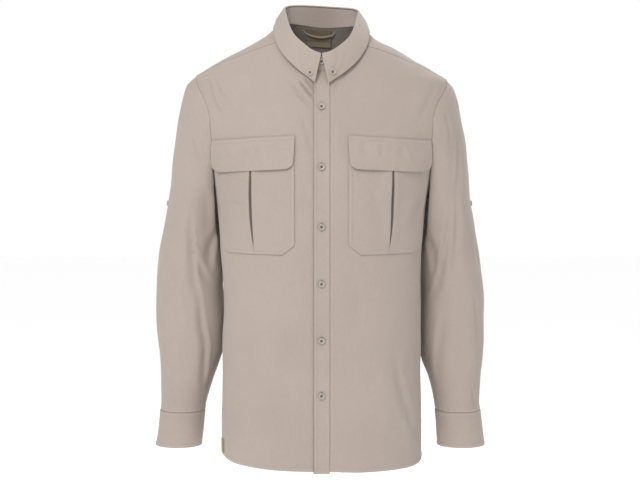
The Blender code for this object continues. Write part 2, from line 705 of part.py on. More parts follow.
def front_panel(side):
    """Angles and levels of a front panel's grid, hem to yoke seam, front edge to side."""
    edge_x = LEFT_FRONT_EDGE_X if side > 0 else RIGHT_FRONT_EDGE_X
    edge_round = math.asin(edge_x / NECK_HALF_WIDTH)
    armpit = np.array([side * math.pi / 2, ARMPIT_LEVEL])
    pace = np.linspace(0, 1, FRONT_COLUMNS + 1)
    middle_row = np.stack(
        [front_angle(edge_x, ARMPIT_LEVEL) * (1 - pace) + armpit[0] * pace, np.full(len(pace), ARMPIT_LEVEL)], -1
    )
    lower = []
    for t in np.linspace(0, 1, ROWS_BELOW_ARMPIT + 1)[:-1]:
        start_angle = front_angle(edge_x, -0.75 * (1 - t) + ARMPIT_LEVEL * t)
        angles = start_angle * (1 - pace) + armpit[0] * pace
        levels = hem_level(angles) * (1 - t) + ARMPIT_LEVEL * t
        lower.append(np.stack([angles, levels], -1))
    _, top = front_yoke_seam(side, FRONT_COLUMNS)
    edge_rows = ROWS_ABOVE_ARMPIT - NECK_FRONT_ROWS
    rounds = np.linspace(edge_round, side * NECK_JOIN_ANGLE, NECK_FRONT_ROWS + 1)
    neck_angle, neck_level = neck_on_torso(rounds)
    edge_levels = np.linspace(ARMPIT_LEVEL, neck_level[0], edge_rows + 1)[:-1]
    start = np.concatenate(
        [
            np.stack([front_angle(edge_x, edge_levels), edge_levels], -1),
            np.stack([neck_angle, neck_level], -1),
        ]
    )
    parts = np.linspace(0, FRONT_SEAM_PART, ROWS_ABOVE_ARMPIT + 1)
    end = np.stack(armhole_on_torso(parts, side), -1)
    end[0] = armpit
    upper = blend_patch(middle_row, top, start, end)
    grid = np.concatenate([np.array(lower), upper])
    outer = torso(grid[..., 0], grid[..., 1])
    normal = torso_normal(grid[..., 0], grid[..., 1])
    way = -normal * CLOTH
    _, body_way, _ = armhole_seam(parts, side)
    way[ROWS_BELOW_ARMPIT:, -1] = body_way
    neck_start = ROWS_BELOW_ARMPIT + edge_rows
    way[neck_start:, 0] = neck_wall_way(normal[neck_start:, 0])
    return outer, outer + way


def back_panel():
    """The back below the yoke, from the left side round to the right side."""
    columns = 2 * FRONT_COLUMNS + NECK_BACK_COLUMNS
    pace = np.linspace(0, 1, columns + 1)
    around = math.pi / 2 + math.pi * pace
    lower = []
    for t in np.linspace(0, 1, ROWS_BELOW_ARMPIT + 1)[:-1]:
        levels = hem_level(around) * (1 - t) + ARMPIT_LEVEL * t
        lower.append(np.stack([around, levels], -1))
    bottom = np.stack([around, np.full(columns + 1, ARMPIT_LEVEL)], -1)
    parts = np.linspace(1.0, BACK_SEAM_PART, ARMHOLE_BACK_STEPS + 1)
    start = np.stack(armhole_on_torso(parts, 1), -1)
    end_angle, end_level = armhole_on_torso(parts, -1)
    end = np.stack([end_angle + 2 * math.pi, end_level], -1)
    start[0, 0] = math.pi / 2
    end[0, 0] = 3 * math.pi / 2
    top = back_yoke_seam(columns)
    upper = blend_patch(bottom, top, start, end)
    grid = np.concatenate([np.array(lower), upper])
    outer = torso(grid[..., 0], grid[..., 1])
    way = -torso_normal(grid[..., 0], grid[..., 1]) * CLOTH
    way[ROWS_BELOW_ARMPIT:, 0] = armhole_seam(parts, 1)[1]
    way[ROWS_BELOW_ARMPIT:, -1] = armhole_seam(parts, -1)[1]
    return outer, outer + way


def back_yoke_seam(columns):
    """The back yoke seam as angle and level, from the left armhole to the right one."""
    angle, level = armhole_on_torso(np.array([BACK_SEAM_PART]), 1)
    side_steps = FRONT_COLUMNS
    middle_steps = columns - 2 * side_steps
    middle = np.linspace(-YOKE_NECK_SHARE, YOKE_NECK_SHARE, middle_steps + 1)
    aside = np.linspace(YOKE_NECK_SHARE, 1, side_steps + 1)[1:]
    t = np.concatenate([-aside[::-1], middle, aside])
    angles = math.pi + (math.pi - angle[0]) * t
    levels = BACK_YOKE_MIDDLE_LEVEL + (level[0] - BACK_YOKE_MIDDLE_LEVEL) * t**2
    return np.stack([angles, levels], -1)


def swing_round_neck(plan, near):
    """Lead the yoke's columns away from the neck before they turn to the back."""
    side = np.sign(near[:, 0])
    from_side = np.hypot(np.abs(near[:, 0]) - NECK_HALF_WIDTH, near[:, 1] + 0.020)
    strength = YOKE_SWING * side * np.exp(-((from_side / 0.045) ** 2))
    v = np.linspace(0, 1, len(plan))[:, None]
    out = plan.copy()
    out[..., 0] += strength[None] * np.sin(math.pi * v**0.6)
    return out


def yoke_panel():
    """The yoke, from the front seams and the neck down to the back yoke seam."""
    left_plan, _ = front_yoke_seam(1, FRONT_COLUMNS)
    right_plan, _ = front_yoke_seam(-1, FRONT_COLUMNS)
    rounds = np.linspace(NECK_JOIN_ANGLE, 2 * math.pi - NECK_JOIN_ANGLE, NECK_BACK_COLUMNS + 1)
    neck_x, neck_y = neck_plan(rounds)
    near = np.concatenate([left_plan[::-1], np.stack([neck_x, neck_y], -1)[1:-1], right_plan])
    seam = back_yoke_seam(len(near) - 1)
    far = torso_base(seam[:, 0], seam[:, 1])[:, :2]
    parts = np.linspace(FRONT_SEAM_PART, BACK_SEAM_PART, YOKE_ROWS + 1)
    left_end = torso_base(*armhole_on_torso(parts, 1))[:, :2]
    right_end = torso_base(*armhole_on_torso(parts, -1))[:, :2]
    plan = blend_patch(near, far, left_end, right_end)
    plan = swing_round_neck(plan, near)
    level = level_over(plan[..., 0], plan[..., 1])
    angle = angle_over(plan[..., 0], plan[..., 1], level)
    angle[-1], level[-1] = seam[:, 0], seam[:, 1]
    angle[:, 0], level[:, 0] = armhole_on_torso(parts, 1)
    angle[:, -1], level[:, -1] = armhole_on_torso(parts, -1)
    outer = torso(angle, level)
    normal = torso_normal(angle, level)
    way = -normal * CLOTH
    way[:, 0] = armhole_seam(parts, 1)[1]
    way[:, -1] = armhole_seam(parts, -1)[1]
    first = FRONT_COLUMNS
    last = FRONT_COLUMNS + NECK_BACK_COLUMNS
    way[0, first : last + 1] = neck_wall_way(normal[0, first : last + 1])
    return outer, outer + way


def armhole_parts():
    """The seam's sampling, shared by every piece that meets it."""
    front = np.linspace(0, FRONT_SEAM_PART, ROWS_ABOVE_ARMPIT + 1)
    over = np.linspace(FRONT_SEAM_PART, BACK_SEAM_PART, YOKE_ROWS + 1)
    back = np.linspace(BACK_SEAM_PART, 1.0, ARMHOLE_BACK_STEPS + 1)
    return np.concatenate([front[:-1], over[:-1], back[:-1]])


def sleeve_tube(side):
    parts = armhole_parts()
    stations = np.concatenate([[0, 0.5, 1.2], np.arange(2, len(SLEEVE) - 1), [len(SLEEVE) - 1]])
    part, station = np.meshgrid(parts, stations)
    outer = sleeve(part, station, side)
    way = -sleeve_normal(part, station, side) * CLOTH
    point, _, arm_way = armhole_seam(parts, side)
    outer[0] = point
    way[0] = arm_way
    return outer, outer + way


def cuff_value(level, name):
    return smooth(level, column(CUFF, CUFF_COLUMNS, "level"), column(CUFF, CUFF_COLUMNS, name))


def cuff_point(part, level, side, height=0.0):
    which = "left" if side > 0 else "right"
    part, level = np.broadcast_arrays(np.asarray(part, float), np.asarray(level, float))
    outer_x = cuff_value(level, "outer_" + which)
    inner_x = cuff_value(level, "inner_" + which)
    turn = 2 * math.pi * part
    half = (outer_x - inner_x) / 2 + height
    x = (outer_x + inner_x) / 2 - half * np.cos(turn)
    y = cuff_value(level, "middle_y") - (cuff_value(level, "depth") + height) * np.sin(turn)
    return np.stack([side * x, y, level], axis=-1)


def cuff_height(part):
    """The lap lies over the other end of the cuff."""
    over = CUFF_LAP_START + 1.0
    return (BAND_CLOTH + 0.0006) * ease(part, over - 0.10, over - 0.012)


def cuff_band(side):
    """An open band whose last part laps over its first part at the back."""
    parts = np.linspace(CUFF_LAP_START, CUFF_LAP_START + 1.0 + CUFF_LAP, 25)
    levels = column(CUFF, CUFF_COLUMNS, "level")
    part, level = np.meshgrid(parts, levels)
    height = cuff_height(part)
    return cuff_point(part, level, side, height), cuff_point(part, level, side, height - BAND_CLOTH)


def collar_turn(rounds):
    """Degrees from the middle of the front, 0 to 180, for any turn round the neck."""
    turned = (np.degrees(rounds) + 180.0) % 360.0 - 180.0
    return np.abs(turned), np.where(turned < 0, -1.0, 1.0)


def fold_line(rounds):
    turn, side = collar_turn(rounds)
    x = side * lookup(turn, FOLD, FOLD_COLUMNS, "round", "x")
    y = lookup(turn, FOLD, FOLD_COLUMNS, "round", "y")
    z = lookup(turn, FOLD, FOLD_COLUMNS, "round", "level")
    return np.stack([x, y, z + lean(x, z)], -1)


def leaf_edge(rounds):
    turn, side = collar_turn(rounds)
    x = side * lookup(turn, LEAF, LEAF_COLUMNS, "round", "x")
    y = lookup(turn, LEAF, LEAF_COLUMNS, "round", "y")
    z = lookup(turn, LEAF, LEAF_COLUMNS, "round", "level")
    return np.stack([x, y, z + lean(x, z)], -1)


def stand_band():
    """The collar stand: its left end laps over its right end in front."""
    under = math.asin(RIGHT_FRONT_EDGE_X / NECK_HALF_WIDTH)
    over = math.asin(LEFT_FRONT_EDGE_X / NECK_HALF_WIDTH)
    right = np.linspace(under, -NECK_JOIN_ANGLE, NECK_FRONT_ROWS + 1)
    behind = np.linspace(-NECK_JOIN_ANGLE, NECK_JOIN_ANGLE - 2 * math.pi, NECK_BACK_COLUMNS + 1)
    left = np.linspace(NECK_JOIN_ANGLE, over, NECK_FRONT_ROWS + 1) - 2 * math.pi
    lap = np.linspace(over, -over, 4) - 2 * math.pi
    rounds = np.concatenate([right, behind[1:], left[1:], lap[1:]])
    angle, level = neck_on_torso(rounds)
    foot = torso(angle, level)
    x, y = neck_plan(rounds)
    outward = unit(np.stack([x, y - NECK_MIDDLE_Y, np.zeros_like(x)], -1))
    turn, _ = collar_turn(rounds)
    foot[:, 2] += STAND_LIFT + STAND_FRONT_LIFT * (1 - ease(turn, 9.0, 26.0))
    top = fold_line(rounds)
    top[:, 2] -= STAND_TOP_DROP
    lap_height = (STAND_CLOTH + STAND_LAP) * ease(-rounds, 2 * math.pi - 0.50, 2 * math.pi - 0.19)
    v = np.linspace(0, 1, 4)[:, None, None]
    middle = foot[None] * (1 - v) + top[None] * v
    swell = STAND_SWELL * np.sin(math.pi * v)
    outer = middle + outward[None] * (swell + lap_height[None, :, None])
    return outer, outer - outward[None] * STAND_CLOTH


def leaf_panel():
    """The collar leaf: rolls over the stand's top and falls to its lower edge."""
    rounds = np.concatenate(
        [
            np.radians(LEAF_FRONT_TURNS),
            np.linspace(math.radians(50), 2 * math.pi - math.radians(50), 21),
            2 * math.pi - np.radians(LEAF_FRONT_TURNS[::-1]),
        ]
    )
    crest = fold_line(rounds)
    edge = leaf_edge(rounds)
    x, y = neck_plan(rounds)
    outward = unit(np.stack([x, y - NECK_MIDDLE_Y, np.zeros_like(x)], -1))
    turn, side = collar_turn(rounds)
    near = 1 - ease(turn, 0.0, 14.0)
    crest[:, 0] += side * LEAF_FRONT_HALF_GAP * near
    crest[:, 2] += LEAF_FRONT_LIFT * near
    lap_room = LEAF_LAP_ROOM * (1 - ease(turn, 12.0, 30.0))
    up = np.array([0.0, 0.0, 1.0])
    inner_rows = []
    outer_rows = []
    roll = LEAF_ROLL
    for turned in (0.0, 0.5):
        around = math.pi * (1 - turned)
        way = outward * math.cos(around) + up * math.sin(around)
        centre = crest + outward * (lap_room[:, None] + roll * 0.5) - up * roll * 0.2
        inner_rows.append(centre + way * roll * 0.5)
        outer_rows.append(centre + way * (roll * 0.5 + LEAF_CLOTH))
    start = crest + outward * (lap_room[:, None] + roll * 1.1) - up * roll * 0.6
    for t in (0.06, 0.32, 0.62, 1.0):
        point = start * (1 - t) + edge * t
        bow = LEAF_BOW * math.sin(math.pi * t)
        point = point + outward * bow
        down = unit(edge - start)
        face = unit(outward - down * (outward * down).sum(-1, keepdims=True))
        inner_rows.append(point)
        outer_rows.append(point + face * LEAF_CLOTH)
    return np.array(outer_rows), np.array(inner_rows)


def placket_band():
    x = np.linspace(PLACKET_LEFT_X, PLACKET_RIGHT_X, 4)
    round_angle = np.arcsin(x / NECK_HALF_WIDTH)
    _, neck_level = neck_on_torso(round_angle)
    top = neck_level - PLACKET_TOP_DROP
    hem = hem_level(front_angle(x, -0.75))
    rows = [hem - PLACKET_DROP]
    for row in range(1, ROWS_BELOW_ARMPIT):
        t = row / ROWS_BELOW_ARMPIT
        rows.append(hem * (1 - t) + ARMPIT_LEVEL * t)
    edge_rows = ROWS_ABOVE_ARMPIT - NECK_FRONT_ROWS
    for row in range(edge_rows + 1):
        t = row / edge_rows
        rows.append(ARMPIT_LEVEL * (1 - t) + top * t)
    grid_level = np.array(rows)
    grid_x = np.broadcast_to(x, grid_level.shape)
    angle = front_angle(grid_x, grid_level)
    low = torso(angle, grid_level, GAP)
    return torso(angle, grid_level, GAP + BAND_CLOTH), low


def bag_panel(side):
    """A pocket bag: the two halves rise in lips at an upright slit, with a floor between."""
    shares = (0.0, 0.11, 0.25, 0.42, 0.65)
    outer_rows = []
    inner_rows = []
    for level, outer_x, inner_x, slit, opened in BAG:
        lip = LIP_HALF_GAP
        offsets = [outer_x + (slit + 0.017 - outer_x) * t for t in shares]
        offsets += [slit + 0.015, slit + lip, slit + 0.0015, slit - 0.0015, slit - lip, slit - 0.015]
        offsets += [slit - 0.017 + (inner_x - slit + 0.017) * t for t in (0.32, 0.66, 1.0)]
        rises = [0.0, 0.0, 0.05, 0.10, 0.25, 0.55, 1.0, 0.0, 0.0, 1.0, 0.55, 0.25, 0.10, 0.0]
        x = side * np.array(offsets)
        height = PATCH_GAP + LIP_RISE * (0.15 + 0.85 * opened) * np.array(rises) * min(1.0, opened * 8)
        angle = front_angle(x, level)
        inner_rows.append(torso(angle, np.full(len(x), level), height))
        outer_rows.append(torso(angle, np.full(len(x), level), height + BAG_CLOTH))
    return np.array(outer_rows), np.array(inner_rows)


def flap_panel(side):
    outer_rows = []
    inner_rows = []
    t = np.linspace(0, 1, 15) ** 0.8
    for outer_x, inner_x, outer_level, inner_level, rise in FLAP:
        x = side * (inner_x + (outer_x - inner_x) * t)
        level = inner_level + (outer_level - inner_level) * t
        height = PATCH_GAP + rise * (1.0 - 0.25 * ease(t, 0.6, 1.0))
        angle = front_angle(x, level)
        inner_rows.append(torso(angle, level, height))
        outer_rows.append(torso(angle, level, height + FLAP_CLOTH))
    return np.array(outer_rows), np.array(inner_rows)


def sleeve_placket(side):
    """The band over the sleeve's opening, at the back above the cuff."""
    shares = [0.0, 0.25, 0.5, 0.75, 1.0]
    end = len(SLEEVE) - 1
    stations = [end - 0.06, end - 1.0, end - 2.0, end - 2.9, end - 3.4]
    widths = [0.040, 0.037, 0.034, 0.031, 0.012]
    outer_rows = []
    inner_rows = []
    middle = CUFF_LAP_START + CUFF_LAP / 2
    for station, width in zip(stations, widths):
        part = middle + width * (np.array(shares) * 2 - 1)
        inner_rows.append(sleeve(part, station, side, GAP))
        outer_rows.append(sleeve(part, station, side, GAP + CLOTH))
    return np.array(outer_rows), np.array(inner_rows)


def neck_label():
    """A bare tab that hangs inside the back neck."""
    outer_rows = []
    inner_rows = []
    x = np.linspace(LABEL_LEFT_X, LABEL_RIGHT_X, 5)
    for level in LABEL_LEVELS:
        half = ring(level, "left")
        angle = math.pi - np.arcsin(x / half)
        outer_rows.append(torso(angle, level, -CLOTH - LABEL_GAP))
        inner_rows.append(torso(angle, level, -CLOTH - LABEL_GAP - LABEL_CLOTH))
    return np.array(outer_rows), np.array(inner_rows)


def hanger_loop():
    """A narrow strip across the label, held at both ends inside the back neck."""
    t = np.linspace(0, 1, 11)
    x = LOOP_LEFT_X + LOOP_LENGTH * t
    level = LOOP_LEVEL - LOOP_SAG * np.sin(math.pi * t) ** 0.5
    stand_off = CLOTH + LABEL_GAP + LOOP_BELLY * np.sin(math.pi * t) ** 0.7
    angle = math.pi - np.arcsin(x / ring(level, "left"))
    upper_out = torso(angle, level, -stand_off)
    upper_in = torso(angle, level, -stand_off - LOOP_CLOTH)
    angle = math.pi - np.arcsin(x / ring(level - LOOP_WIDTH, "left"))
    lower_out = torso(angle, level - LOOP_WIDTH, -stand_off)
    lower_in = torso(angle, level - LOOP_WIDTH, -stand_off - LOOP_CLOTH)
    return np.array([upper_out, lower_out]), np.array([upper_in, lower_in])


def side_label():
    """A small folded tab at the right side seam above the hem."""
    turn = -np.radians(SIDE_LABEL_TURNS)
    outer_rows = []
    inner_rows = []
    for level in SIDE_LABEL_LEVELS:
        inner_rows.append(torso(turn, level, GAP))
        outer_rows.append(torso(turn, level, GAP + LABEL_CLOTH))
    return np.array(outer_rows), np.array(inner_rows)


def button(name, radius, place, way, collection, material):
    """A rimmed button, turned round its own axis, with its back at a place and its face along a way."""
    height = BUTTON_HEIGHT * radius / BUTTON_RADIUS
    edge = BUTTON_EDGE_HEIGHT * height
    dish = BUTTON_DISH_HEIGHT * height
    profile = [(0.0, 0.0), (radius, 0.0), (radius, edge), (BUTTON_RIM_RADIUS * radius, height)]
    profile += [(BUTTON_DISH_RADIUS * radius, dish), (0.0, dish)]
    mesh = bpy.data.meshes.new(name)
    points = [(r, 0.0, h) for r, h in reversed(profile)]
    mesh.from_pydata(points, [(k, k + 1) for k in range(len(points) - 1)], [])
    item = bpy.data.objects.new(name, mesh)
    collection.objects.link(item)
    turn = item.modifiers.new("turned", "SCREW")
    turn.axis = "Z"
    turn.steps = BUTTON_STEPS
    turn.render_steps = BUTTON_STEPS
    turn.use_merge_vertices = True
    turn.merge_threshold = 0.00001
    turn.use_smooth_shade = False
    item.data.materials.append(material)
    towards = Vector(way).to_track_quat("Z", "Y").to_matrix().to_4x4()
    item.matrix_world = Matrix.Translation(Vector(place)) @ towards
    return item


def material(name, colour, roughness):
    made = bpy.data.materials.new(name)
    made.use_nodes = True
    surface = made.node_tree.nodes["Principled BSDF"]
    surface.inputs["Base Color"].default_value = (*colour, 1.0)
    surface.inputs["Roughness"].default_value = roughness
    surface.inputs["Metallic"].default_value = 0.0
    return made


def main():
    for item in list(bpy.data.objects):
        bpy.data.objects.remove(item, do_unlink=True)
    shirt = bpy.data.collections.new("shirt")
    bpy.context.scene.collection.children.link(shirt)

    cloth_colour = (0.47, 0.40, 0.355)

    def cloth(name):
        return material("cloth_" + name, cloth_colour, 0.9)

    sides = (("left", 1), ("right", -1))
    for word, side in sides:
        outer, inner = front_panel(side)
        outer, inner = inset_edges(outer, inner, ("top", "end"))
        wall("front_" + word, outer, inner, shirt, cloth("front_" + word))

    outer, inner = back_panel()
    outer, inner = inset_edges(outer, inner, ("top", "start", "end"))
    wall("back", outer, inner, shirt, cloth("back"))

    outer, inner = yoke_panel()
    outer, inner = inset_edges(outer, inner, ("bottom", "top", "start", "end"))
    wall("yoke", outer, inner, shirt, cloth("yoke"))

    for word, side in sides:
        outer, inner = sleeve_tube(side)
        outer, inner = inset_edges(outer, inner, ("bottom",))
        wall("sleeve_" + word, outer, inner, shirt, cloth("sleeve_" + word), around=True)
        wall("cuff_" + word, *cuff_band(side), shirt, cloth("cuff_" + word))
        wall("sleeve_placket_" + word, *sleeve_placket(side), shirt, cloth("sleeve_placket_" + word))
        wall("pocket_" + word, *bag_panel(side), shirt, cloth("pocket_" + word))
        wall("pocket_flap_" + word, *flap_panel(side), shirt, cloth("pocket_flap_" + word))

    wall("placket", *placket_band(), shirt, cloth("placket"))
    wall("collar_stand", *stand_band(), shirt, cloth("collar_stand"))
    wall("collar_leaf", *leaf_panel(), shirt, cloth("collar_leaf"))
    label_material = material("label_weave", (0.13, 0.105, 0.065), 0.8)
    wall("neck_label", *neck_label(), shirt, label_material)
    wall("hanger_loop", *hanger_loop(), shirt, cloth("hanger_loop"))
    wall("side_label", *side_label(), shirt, material("side_label_weave", (0.20, 0.16, 0.06), 0.8))

    horn = material("button", (0.36, 0.31, 0.27), 0.45)
    stack = 2 * GAP + BAND_CLOTH
    for number, level in enumerate(FRONT_BUTTON_LEVELS, 1):
        angle = np.array([0.0])
        place = torso(angle, np.array([level]), stack)[0]
        way = torso_normal(angle, np.array([level]))[0]
        button(f"button_front_{number}", BUTTON_RADIUS, place, way, shirt, horn)

    outer, _ = stand_band()
    lap = outer[:, -2]
    foot, top = lap[0], lap[-1]
    up = unit(top - foot)
    way = unit(np.cross(outer[1, -3] - outer[1, -1], up))
    place = foot * (1 - STAND_BUTTON_SHARE) + top * STAND_BUTTON_SHARE
    place = place + way * (GAP + STAND_BUTTON_LIFT)
    place[0] = 0.0
    button("button_stand", SMALL_BUTTON_RADIUS, place, way, shirt, horn)

    outer, _ = leaf_panel()
    for word, side in sides:
        near, far = (1, 2) if side > 0 else (-2, -3)
        fall = POINT_BUTTON_FALL[word]
        row = outer[-2] * (1 - fall) + outer[-1] * fall
        place = row[near] * (1 - POINT_BUTTON_SHARE) + row[far] * POINT_BUTTON_SHARE
        across = outer[-2, far] - outer[-2, near]
        way = unit(np.cross(across, outer[-3, near] - outer[-1, near]))
        way = way if way[1] < 0 else -way
        button(f"button_point_{word}", SMALL_BUTTON_RADIUS, place + way * (GAP + POINT_BUTTON_LIFT), way, shirt, horn)

    for word, side in sides:
        part = np.array([CUFF_LAP_START + 1.0 + CUFF_LAP / 2])
        level = np.array([CUFF_BUTTON_LEVEL])
        low = cuff_point(part, level, side, cuff_height(part))[0]
        high = cuff_point(part, level, side, cuff_height(part) + 0.001)[0]
        way = unit(high - low)
        button(f"button_cuff_{word}", SMALL_BUTTON_RADIUS, low + way * (GAP + BUTTON_LIFT), way, shirt, horn)
        tab_station = np.array([TAB_BUTTON_STATION])
        part = np.array([TAB_BUTTON_PART])
        way = sleeve_normal(part, tab_station, side)[0]
        place = sleeve(part, tab_station, side, GAP)[0]
        button(f"button_tab_{word}", TAB_BUTTON_RADIUS, place + way * BUTTON_LIFT, way, shirt, horn)


main()
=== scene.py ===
"""A long-sleeved outdoor shirt, filled out as if worn and open at neck, hem and cuffs.

Metres, +Z up. The shirt faces -Y, the wearer's right is -X. The origin is in the
middle of the neck, level with the tops of the shoulder seams.
"""

import math

import bmesh
import bpy
import numpy as np
from mathutils import Matrix, Vector


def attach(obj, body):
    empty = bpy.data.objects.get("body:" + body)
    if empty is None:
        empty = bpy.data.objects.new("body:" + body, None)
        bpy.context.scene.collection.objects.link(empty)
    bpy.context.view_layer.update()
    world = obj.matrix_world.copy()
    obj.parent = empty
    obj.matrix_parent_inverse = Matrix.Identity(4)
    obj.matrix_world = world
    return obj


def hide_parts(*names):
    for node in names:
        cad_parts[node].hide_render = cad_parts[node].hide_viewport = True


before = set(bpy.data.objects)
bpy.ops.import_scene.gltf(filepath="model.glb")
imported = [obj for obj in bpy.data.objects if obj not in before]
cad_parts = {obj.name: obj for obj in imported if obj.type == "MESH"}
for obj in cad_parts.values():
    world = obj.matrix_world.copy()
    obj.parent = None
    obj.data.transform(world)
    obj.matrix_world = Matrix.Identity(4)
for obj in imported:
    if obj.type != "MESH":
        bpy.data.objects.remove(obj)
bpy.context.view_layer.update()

# Sizes of the cloth and its seams
CLOTH = 0.0012
BAND_CLOTH = 0.0015
STAND_CLOTH = 0.0018
GAP = 0.0003
PATCH_GAP = 0.00045
LABEL_GAP = 0.0009
LABEL_CLOTH = 0.0010

# Sizes of the body
ARMPIT_LEVEL = -0.270
NECK_HALF_WIDTH = 0.0745
NECK_MIDDLE_Y = -0.008
NECK_FRONT_DEPTH = 0.079
NECK_BACK_DEPTH = 0.0765
NECK_JOIN_ANGLE = math.radians(60)
SHOULDER_LEAN = 0.0032

# The torso's rings, top to bottom
RING_COLUMNS = ("level", "right", "left", "front_y", "back_y", "side_y", "power")
RINGS = [
    (0.022, 0.0450, 0.0450, -0.026, 0.062, 0.008, 2.0),
    (0.015, 0.0620, 0.0620, -0.030, 0.065, 0.008, 2.0),
    (0.006, 0.0750, 0.0750, -0.037, 0.069, 0.008, 2.0),
    (0.0016, 0.0795, 0.0795, -0.041, 0.071, 0.008, 2.0),
    (-0.0146, 0.0975, 0.0975, -0.053, 0.078, 0.008, 2.0),
    (-0.0313, 0.1290, 0.1290, -0.0635, 0.0845, 0.008, 2.0),
    (-0.045, 0.1530, 0.1530, -0.072, 0.090, 0.008, 2.0),
    (-0.062, 0.1848, 0.1848, -0.0815, 0.096, 0.007, 2.0),
    (-0.072, 0.2005, 0.2005, -0.087, 0.099, 0.007, 2.0),
    (-0.086, 0.2200, 0.2200, -0.0935, 0.103, 0.006, 2.0),
    (-0.100, 0.2235, 0.2235, -0.099, 0.107, 0.006, 2.0),
    (-0.120, 0.2262, 0.2262, -0.107, 0.112, 0.005, 2.0),
    (-0.150, 0.2255, 0.2255, -0.117, 0.118, 0.004, 2.0),
    (-0.190, 0.2155, 0.2165, -0.126, 0.123, 0.003, 2.05),
    (-0.225, 0.2030, 0.2045, -0.131, 0.125, 0.002, 2.1),
    (-0.250, 0.1920, 0.1940, -0.133, 0.125, 0.001, 2.15),
    (-0.270, 0.1870, 0.1885, -0.134, 0.125, 0.0, 2.2),
    (-0.300, 0.1830, 0.1830, -0.135, 0.123, 0.0, 2.25),
    (-0.350, 0.1790, 0.1785, -0.134, 0.120, 0.0, 2.3),
    (-0.400, 0.1750, 0.1740, -0.132, 0.117, 0.0, 2.35),
    (-0.470, 0.1705, 0.1735, -0.130, 0.114, 0.0, 2.4),
    (-0.550, 0.1735, 0.1740, -0.129, 0.114, 0.0, 2.4),
    (-0.640, 0.1752, 0.1752, -0.128, 0.118, 0.0, 2.4),
    (-0.720, 0.1765, 0.1770, -0.127, 0.123, 0.0, 2.4),
    (-0.800, 0.1775, 0.1785, -0.127, 0.126, 0.0, 2.4),
]

# The hem's level, by how far round from the middle of the front, in degrees
HEM_COLUMNS = ("round", "level")
HEM = [
    (-180.0, -0.772),
    (-140.0, -0.768),
    (-115.0, -0.755),
    (-97.0, -0.741),
    (-90.0, -0.7375),
    (-75.0, -0.7395),
    (-50.0, -0.7460),
    (-20.0, -0.7500),
    (0.0, -0.7508),
    (20.0, -0.7530),
    (50.0, -0.7525),
    (75.0, -0.7495),
    (90.0, -0.7455),
    (97.0, -0.7475),
    (115.0, -0.7575),
    (140.0, -0.768),
    (180.0, -0.772),
]

# The armhole seam seen from the side, from the armpit up the front and down the back
ARMHOLE_COLUMNS = ("part", "y", "level")
ARMHOLE = [
    (0.000, 0.000, -0.2700),
    (0.045, -0.0215, -0.2620),
    (0.090, -0.0385, -0.2470),
    (0.150, -0.0555, -0.2210),
    (0.215, -0.0622, -0.1900),
    (0.280, -0.0618, -0.1600),
    (0.340, -0.0545, -0.1360),
    (0.390, -0.0420, -0.1160),
    (0.440, -0.0235, -0.0990),
    (0.475, -0.0110, -0.0885),
    (0.500, 0.0060, -0.0845),
    (0.540, 0.0260, -0.0895),
    (0.600, 0.0470, -0.1040),
    (0.650, 0.0600, -0.1220),
    (0.720, 0.0690, -0.1540),
    (0.790, 0.0690, -0.1900),
    (0.860, 0.0570, -0.2270),
    (0.930, 0.0330, -0.2560),
    (1.000, 0.000, -0.2700),
]
ARMHOLE_MIDDLE_Y = 0.003
ARMHOLE_MIDDLE_LEVEL = -0.177
FRONT_SEAM_PART = 0.484
BACK_SEAM_PART = 0.625

# The back yoke seam, from the middle out to the armhole
BACK_YOKE_MIDDLE_LEVEL = -0.1020
YOKE_NECK_SHARE = 0.60
YOKE_SWING = 0.015

# Sleeve stations, armhole to cuff seam; the outer side is away from the body
SLEEVE_COLUMNS = (
    "outer_level",
    "inner_level",
    "outer_right",
    "outer_left",
    "inner_right",
    "inner_left",
    "middle_y",
    "front",
    "back",
)
SLEEVE = [
    (-0.0845, -0.2700, 0.2185, 0.2185, 0.1870, 0.1885, 0.003, 0.0630, 0.0680),
    (-0.0980, -0.2745, 0.2345, 0.2295, 0.1850, 0.1855, 0.005, 0.0640, 0.0690),
    (-0.1220, -0.2825, 0.2435, 0.2375, 0.1790, 0.1790, 0.009, 0.0645, 0.0690),
    (-0.1520, -0.2940, 0.2500, 0.2445, 0.1730, 0.1730, 0.013, 0.0650, 0.0680),
    (-0.1900, -0.3110, 0.2555, 0.2515, 0.1710, 0.1710, 0.018, 0.0660, 0.0670),
    (-0.2290, -0.3310, 0.2610, 0.2570, 0.1710, 0.1710, 0.024, 0.0660, 0.0660),
    (-0.2680, -0.3550, 0.2660, 0.2610, 0.1720, 0.1720, 0.030, 0.0650, 0.0650),
    (-0.3120, -0.3830, 0.2735, 0.2665, 0.1730, 0.1730, 0.036, 0.0640, 0.0640),
    (-0.3530, -0.4130, 0.2820, 0.2735, 0.1740, 0.1740, 0.041, 0.0630, 0.0630),
    (-0.3980, -0.4460, 0.2900, 0.2815, 0.1760, 0.1760, 0.045, 0.0620, 0.0620),
    (-0.4430, -0.4800, 0.2940, 0.2880, 0.1735, 0.1740, 0.047, 0.0610, 0.0610),
    (-0.4890, -0.5150, 0.2950, 0.2905, 0.1720, 0.1730, 0.047, 0.0600, 0.0600),
    (-0.5320, -0.5480, 0.2930, 0.2905, 0.1725, 0.1735, 0.046, 0.0580, 0.0590),
    (-0.5750, -0.5820, 0.2890, 0.2885, 0.1820, 0.1800, 0.044, 0.0550, 0.0560),
    (-0.6170, -0.6170, 0.2870, 0.2835, 0.1935, 0.1920, 0.040, 0.0510, 0.0510),
    (-0.6480, -0.6475, 0.2865, 0.2825, 0.2025, 0.2005, 0.036, 0.0460, 0.0460),
    (-0.6710, -0.6710, 0.2870, 0.2835, 0.2080, 0.2040, 0.033, 0.0410, 0.0410),
]
SLEEVE_CLEAR_OF_BODY = 0.0042

